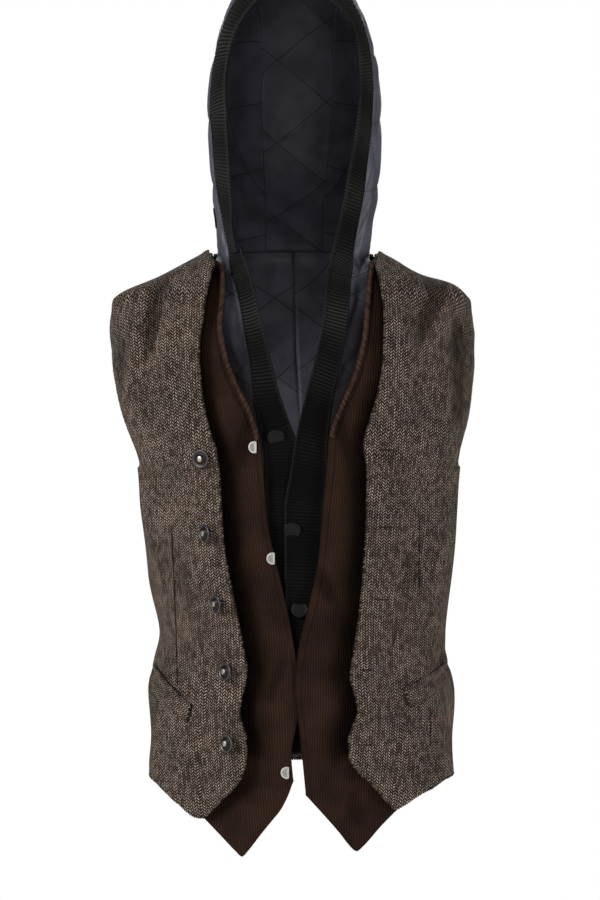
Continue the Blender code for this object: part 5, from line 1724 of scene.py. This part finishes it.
# %% Tweed buttons
#  sideways place, height, how far the button leans to the wearer's right on its shank
TWEED_BUTTONS = ((-102, -235, 0.12), (-94, -316, 0.6), (-82, -392, 0.6), (-73, -467, 0.42), (-72, -544, 0.42))
BUTTON_STAND, LEAN_STAND = 0.4, 6.5
TWEED_BUTTON = (
    (0, 0), (2.7, 0), (2.7, 1.2), (2.9, 2.3), (5, 2.6), (8.2, 2.8), (9.5, 3.1), (10, 3.8), (9.8, 4.5), (9.2, 4.95),
    (8.4, 4.9), (7.6, 4.4), (6.8, 4.05), (5.9, 4.1), (5.2, 4.5), (4.5, 5.3), (3.6, 6.1), (2.2, 6.7), (0.7, 6.95),
    (0, 7),
)
for number, (x, z, lean) in enumerate(TWEED_BUTTONS, 1):
    point, normal = surfaces["right"].seen(x, z)
    leant = normal * math.cos(lean) - frame_at(normal)[0] * math.sin(lean)
    stand = BUTTON_STAND + LEAN_STAND * lean
    outline = [(radius, height - stand if height < 1 else height) for radius, height in TWEED_BUTTON]
    turned(f"shank_button_{number}", f"tweed_button_{number}", "gunmetal", gunmetal, outline, 44,
           point + leant * stand, leant)
print("tweed buttons:", len(TWEED_BUTTONS))

# %% Buttonholes of the left front
BUTTONHOLES = ((97, -226), (98, -310), (92, -389), (76, -465), (74, -546))
HOLE_LENGTH, HOLE_DROP = 16.0, 0.6
t = np.linspace(-0.5, 0.5, 9)
holes = [surfaces["left"].line(x + HOLE_LENGTH * t, z - HOLE_DROP * t) for x, z in BUTTONHOLES]
lay_yarn("buttonhole_stitches", "tweed", soft_thread, holes, 0.95, (2.4, 1.1, 1.4), slant=0.1)

# %% Studs on the right corduroy front
CORD_STUDS = ((-46, -223), (-26.5, -344), (-11, -577))
STUD_RADIUS, STUD_CUT, STUD_STEPS, STUD_STAND = 6.6, 2.4, 48, 0.4
#  height above the cloth, how far in from the outline
STUD_LEVELS = ((0, 0.1), (0.6, 0), (1.2, 0), (1.6, 0.25), (1.8, 0.8), (1.75, 1.4), (1.5, 1.9), (1.35, 2.6), (1.4, 4.2))
cord_surface = Surface(cord_fronts["right"][-1])
first = math.acos(STUD_CUT / STUD_RADIUS)
turn = np.linspace(first, 2 * math.pi - first, STUD_STEPS)
for number, (x, z) in enumerate(CORD_STUDS, 1):
    point, normal = cord_surface.seen(x, z)
    side, up = frame_at(normal)
    rings = []
    for height, inset in STUD_LEVELS:
        radius = STUD_RADIUS - inset
        over = np.minimum(np.cos(turn) * radius, STUD_CUT - inset)
        ring = point + over[:, None] * side + (np.sin(turn) * radius)[:, None] * up
        rings.append(ring + normal * (height + STUD_STAND))
    solid_of(f"snap_stud_{number}", f"cord_stud_{number}", "silver", stud_metal, rings,
             [STUD_RADIUS - inset for _, inset in STUD_LEVELS])
print("studs:", len(CORD_STUDS))

# %% Buttons of the inner vest
#  the front each is sewn to, sideways place, height
INNER_BUTTONS = (("right", -23, -212), ("left", -5, -313), ("left", 3, -400))
INNER_BUTTON = (
    (0, 0), (7.4, 0), (8.6, 0.3), (9.3, 0.9), (9.4, 1.6), (8.8, 2.2), (8, 2.4), (7.2, 2.2), (6.4, 1.95), (4, 1.9),
    (0.8, 1.9), (0, 1.9),
)
for number, (name, x, z) in enumerate(INNER_BUTTONS, 1):
    point, normal = Surface(trim_faces[name]).seen(x, z)
    turned(f"inner_button_disc_{number}", f"inner_button_{number}", "black_button", black_resin, INNER_BUTTON, 36,
           point + normal * 0.3, normal)
print("inner buttons:", len(INNER_BUTTONS))

# %% [markdown]
# ## Camera, light and floor
#
# The camera stands level with the waist, a little over three metres away, with a long lens, so the
# vest shows almost without perspective. A large soft light stands high on the left and one half as
# strong on the right. They stand far out, which lets the standing edges of the tweed shade the
# corduroy. A weak light in front opens the shadows, and one behind draws the outline.

# %% Camera
CAMERA_PLACE, CAMERA_LENS = (0.0034, -3.3, -0.226), 116.8
camera_data = bpy.data.cameras.new("camera")
camera_data.lens, camera_data.sensor_width = CAMERA_LENS, 36.0
camera = linked("camera", camera_data)
camera.location = CAMERA_PLACE
camera.rotation_euler = (math.radians(90), 0, 0)
bpy.context.scene.camera = camera
bpy.context.scene.view_settings.view_transform = "Standard"
print("camera:", CAMERA_PLACE, CAMERA_LENS)

# %% Lights
MIDDLE = Vector((0.0, 0.0, -0.25))


def soft_light(name, spot_at, size, power):
    """A rectangular light aimed at the middle of the vest."""
    data = bpy.data.lights.new(name, "AREA")
    data.shape, data.size, data.size_y, data.energy = "RECTANGLE", size[0], size[1], power
    lamp = linked(name, data)
    lamp.location = spot_at
    lamp.rotation_euler = (MIDDLE - Vector(spot_at)).to_track_quat("-Z", "Y").to_euler()
    lamp.visible_camera = False


soft_light("left softbox", (-2.4, -2.0, 0.9), (1.0, 1.4), 88)
soft_light("right softbox", (2.6, -1.7, 0.1), (0.9, 1.6), 44)
soft_light("front fill", (0.3, -3.6, 0.4), (1.6, 1.2), 14)
soft_light("back light", (0.0, 2.8, 1.4), (2.4, 1.6), 60)

world = bpy.data.worlds.new("pale room")
bpy.context.scene.world = world
world.use_nodes = True
room = Net(world.node_tree)
sky = room.tree.nodes["Background"].inputs
to_camera = room.put("ShaderNodeLightPath")["Is Camera Ray"]
room.plug(sky["Strength"], room.step(to_camera, 0.0, 1.0, 0.07, 1.0))
room.plug(sky["Color"], (1, 1, 1, 1))
print("lights:", [light.name for light in bpy.data.lights])

# %% Floor
FLOOR_HEIGHT, FLOOR_RADIUS, FLOOR_CORNERS = -1.2, 2.6, 96
floor_mesh = bpy.data.meshes.new("floor")
around = np.linspace(0, 2 * math.pi, FLOOR_CORNERS, endpoint=False)
corners = [(FLOOR_RADIUS * math.cos(a), FLOOR_RADIUS * math.sin(a), FLOOR_HEIGHT) for a in around]
floor_mesh.from_pydata(corners, [], [tuple(range(FLOOR_CORNERS))])
floor = linked("floor", floor_mesh)
paint = Finish("floor paint", Roughness=0.8)
speckle = paint.put("ShaderNodeTexNoise", Vector=paint.air(), Scale=3.0)[0]
paint.plug(paint.surface["Base Color"], paint.mix(speckle, srgb(238, 238, 238), srgb(244, 244, 243)))
floor_mesh.materials.append(paint.material)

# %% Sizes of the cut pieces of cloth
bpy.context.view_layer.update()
for name, cut in cuts.items():
    print("cut of", name, "width, length in mm, area in square metres:", cut)
